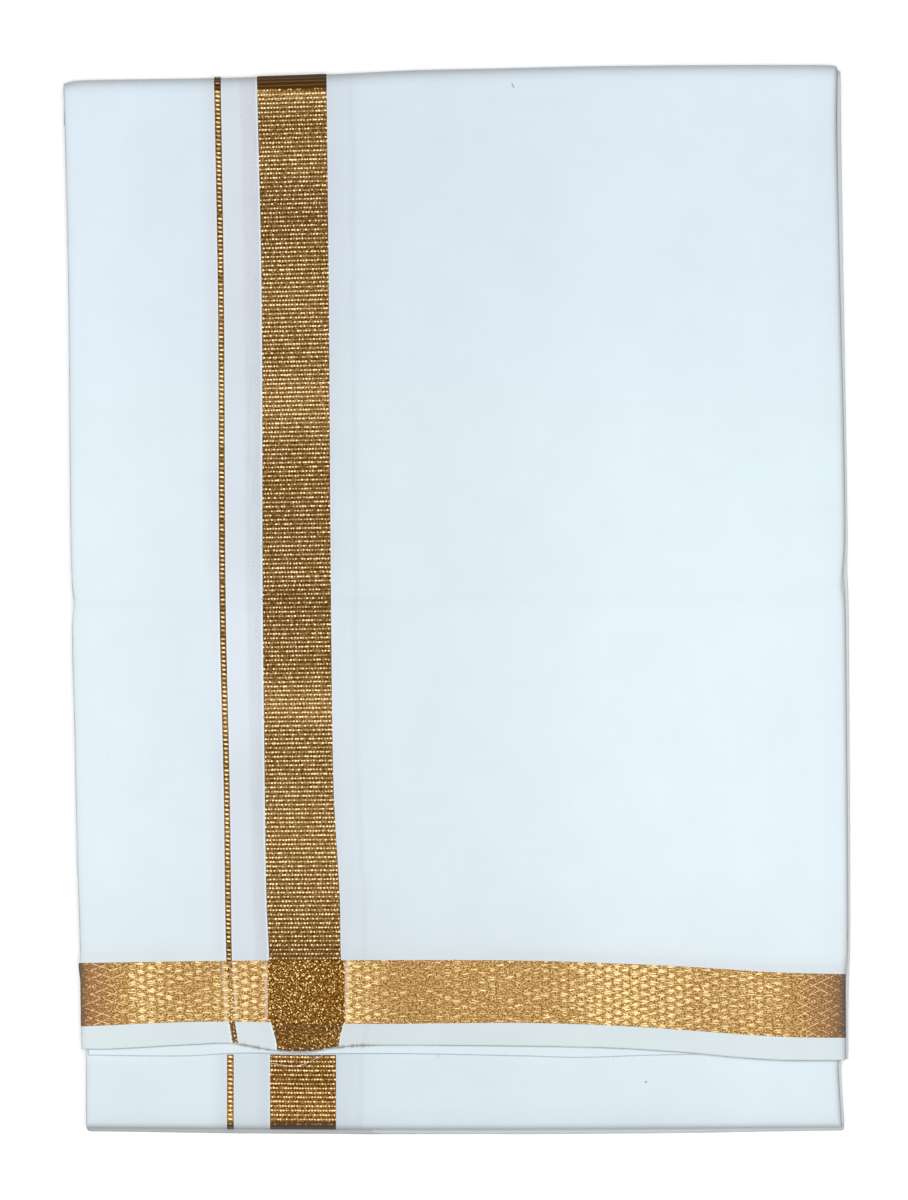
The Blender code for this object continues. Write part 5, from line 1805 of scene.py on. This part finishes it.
class DHOTI_OT_end_band(Operator):
    """Weave the band across the cloth's end, with its diamonds and the pale slips beside the crossings"""

    bl_idname = "dhoti.end_band"
    bl_label = "End band"

    def execute(self, context):
        make_band_stretch("end_band_left", left_side, CROSSING_LEFT)
        make_band_stretch("end_band_right", CROSSING_RIGHT, right_side)
        make_lattice("end_band_left_lattice", left_side, LATTICE_LEFT)
        make_lattice("end_band_right_lattice", LATTICE_RIGHT, right_side)
        make_crossing_strip("line_crossing", band_lower, band_upper, LINE_EDGES, LINE_CROSSING_TONES, 4, 30)
        slips = woven(
            "pale_slips", tree_named("Woven ground"), slips_surface("pale_slips"),
            thickness=GROUND_THICKNESS * MM, material=pale_material(),
        )
        settle(slips, "zari")
        return {"FINISHED"}


class DHOTI_OT_lower_gold(Operator):
    """Weave the border and the thin line below the front's end, down round the bottom fold"""

    bl_idname = "dhoti.lower_gold"
    bl_label = "Lower gold"

    def execute(self, context):
        put, layer = place_lower, LOWER
        sides = straight(LOWEST.border_left), straight(LOWEST.border_right)
        make_ribbed_strip("lower_border", lowest_gold, below_flap, sides, put, layer, LOWER_TONES)
        sides = straight(LOWEST.line_left), straight(LOWEST.line_right)
        tones, node = LOWER_LINE_TONES, "lower_thin_line"
        make_line_strip("lower_line", lowest_gold, below_flap, sides, put, layer, tones, node)
        return {"FINISHED"}


KEY_PLACE = (0.05, -0.08, 2.4)
FLOOR_HALF = 2.5
SENSOR = 36.0
CLIP = (0.05, 20.0)


def soft_light(name, power, size, place_at, aim):
    lamp = bpy.data.lights.new(name, "AREA")
    lamp.energy = power
    lamp.size = size
    light = bpy.data.objects.new(name, lamp)
    light.location = place_at
    light.rotation_euler = (Vector(aim) - Vector(place_at)).to_track_quat("-Z", "Y").to_euler()
    bpy.context.scene.collection.objects.link(light)


class DHOTI_OT_stage(Operator):
    """Set out the pale floor, the soft light and the camera that looks straight down"""

    bl_idname = "dhoti.stage"
    bl_label = "Stage"

    def execute(self, context):
        scene = context.scene
        stage = scene.dhoti_stage
        mesh = bpy.data.meshes.new("floor")
        ways = ((-1, -1), (1, -1), (1, 1), (-1, 1))
        corners = [(x * FLOOR_HALF, y * FLOOR_HALF, 0.0) for x, y in ways]
        mesh.from_pydata(corners, [], [(0, 1, 2, 3)])
        mesh.materials.append(floor_material())
        floor = bpy.data.objects.new("floor", mesh)
        scene.collection.objects.link(floor)
        floor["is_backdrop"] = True
        world = bpy.data.worlds.new("studio")
        world.use_nodes = True
        background = world.node_tree.nodes["Background"]
        background.inputs["Color"].default_value = (1.0, 1.0, 1.0, 1.0)
        background.inputs["Strength"].default_value = stage.sky
        scene.world = world
        soft_light("key light", stage.key, stage.key_size, KEY_PLACE, (0.0, 0.0, 0.0))
        scene.view_settings.view_transform = "Standard"
        camera = bpy.data.cameras.new("camera")
        camera.sensor_width = SENSOR
        camera.lens = SENSOR * stage.distance / stage.view_height
        camera.clip_start, camera.clip_end = CLIP
        eye = bpy.data.objects.new("camera", camera)
        eye.location = (stage.view_x, stage.view_y, THICKNESS * MM + stage.distance)
        scene.collection.objects.link(eye)
        scene.camera = eye
        return {"FINISHED"}


class DHOTI_PT_parts(Panel):
    """The parts of the dhoti, each with its button"""

    bl_idname = "DHOTI_PT_parts"
    bl_label = "Folded dhoti"
    bl_space_type = "VIEW_3D"
    bl_region_type = "UI"
    bl_category = "Dhoti"

    def draw(self, context):
        for title, group in (("Cloth", "dhoti_cloth"), ("Gold", "dhoti_gold"), ("Stage", "dhoti_stage")):
            box = self.layout.box()
            box.label(text=title)
            settings = getattr(context.scene, group)
            for name in settings.__annotations__:
                box.prop(settings, name)
        for step in STEPS:
            self.layout.operator(step.bl_idname)


SETTINGS = {"dhoti_cloth": ClothSettings, "dhoti_gold": GoldSettings, "dhoti_stage": StageSettings}
STEPS = (
    DHOTI_OT_stage,
    DHOTI_OT_folded_cloth,
    DHOTI_OT_lower_cloth,
    DHOTI_OT_flap_under_cloth,
    DHOTI_OT_front_cloth,
    DHOTI_OT_border,
    DHOTI_OT_thin_line,
    DHOTI_OT_end_band,
    DHOTI_OT_lower_gold,
)


def register():
    for settings in (*SETTINGS.values(), *STEPS, DHOTI_PT_parts):
        bpy.utils.register_class(settings)
    for name, group in SETTINGS.items():
        setattr(bpy.types.Scene, name, PointerProperty(type=group))


def unregister():
    for name in SETTINGS:
        delattr(bpy.types.Scene, name)
    for settings in reversed((*SETTINGS.values(), *STEPS, DHOTI_PT_parts)):
        bpy.utils.unregister_class(settings)


def main():
    register()
    for step in STEPS:
        group, name = step.bl_idname.split(".")
        getattr(getattr(bpy.ops, group), name)()
    plain = lambda box: [[float(c) for c in corner] for corner in box]
    {"cad": plain(PACKED_BOX), "visual": plain(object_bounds())}


if __name__ == "__main__":
    main()
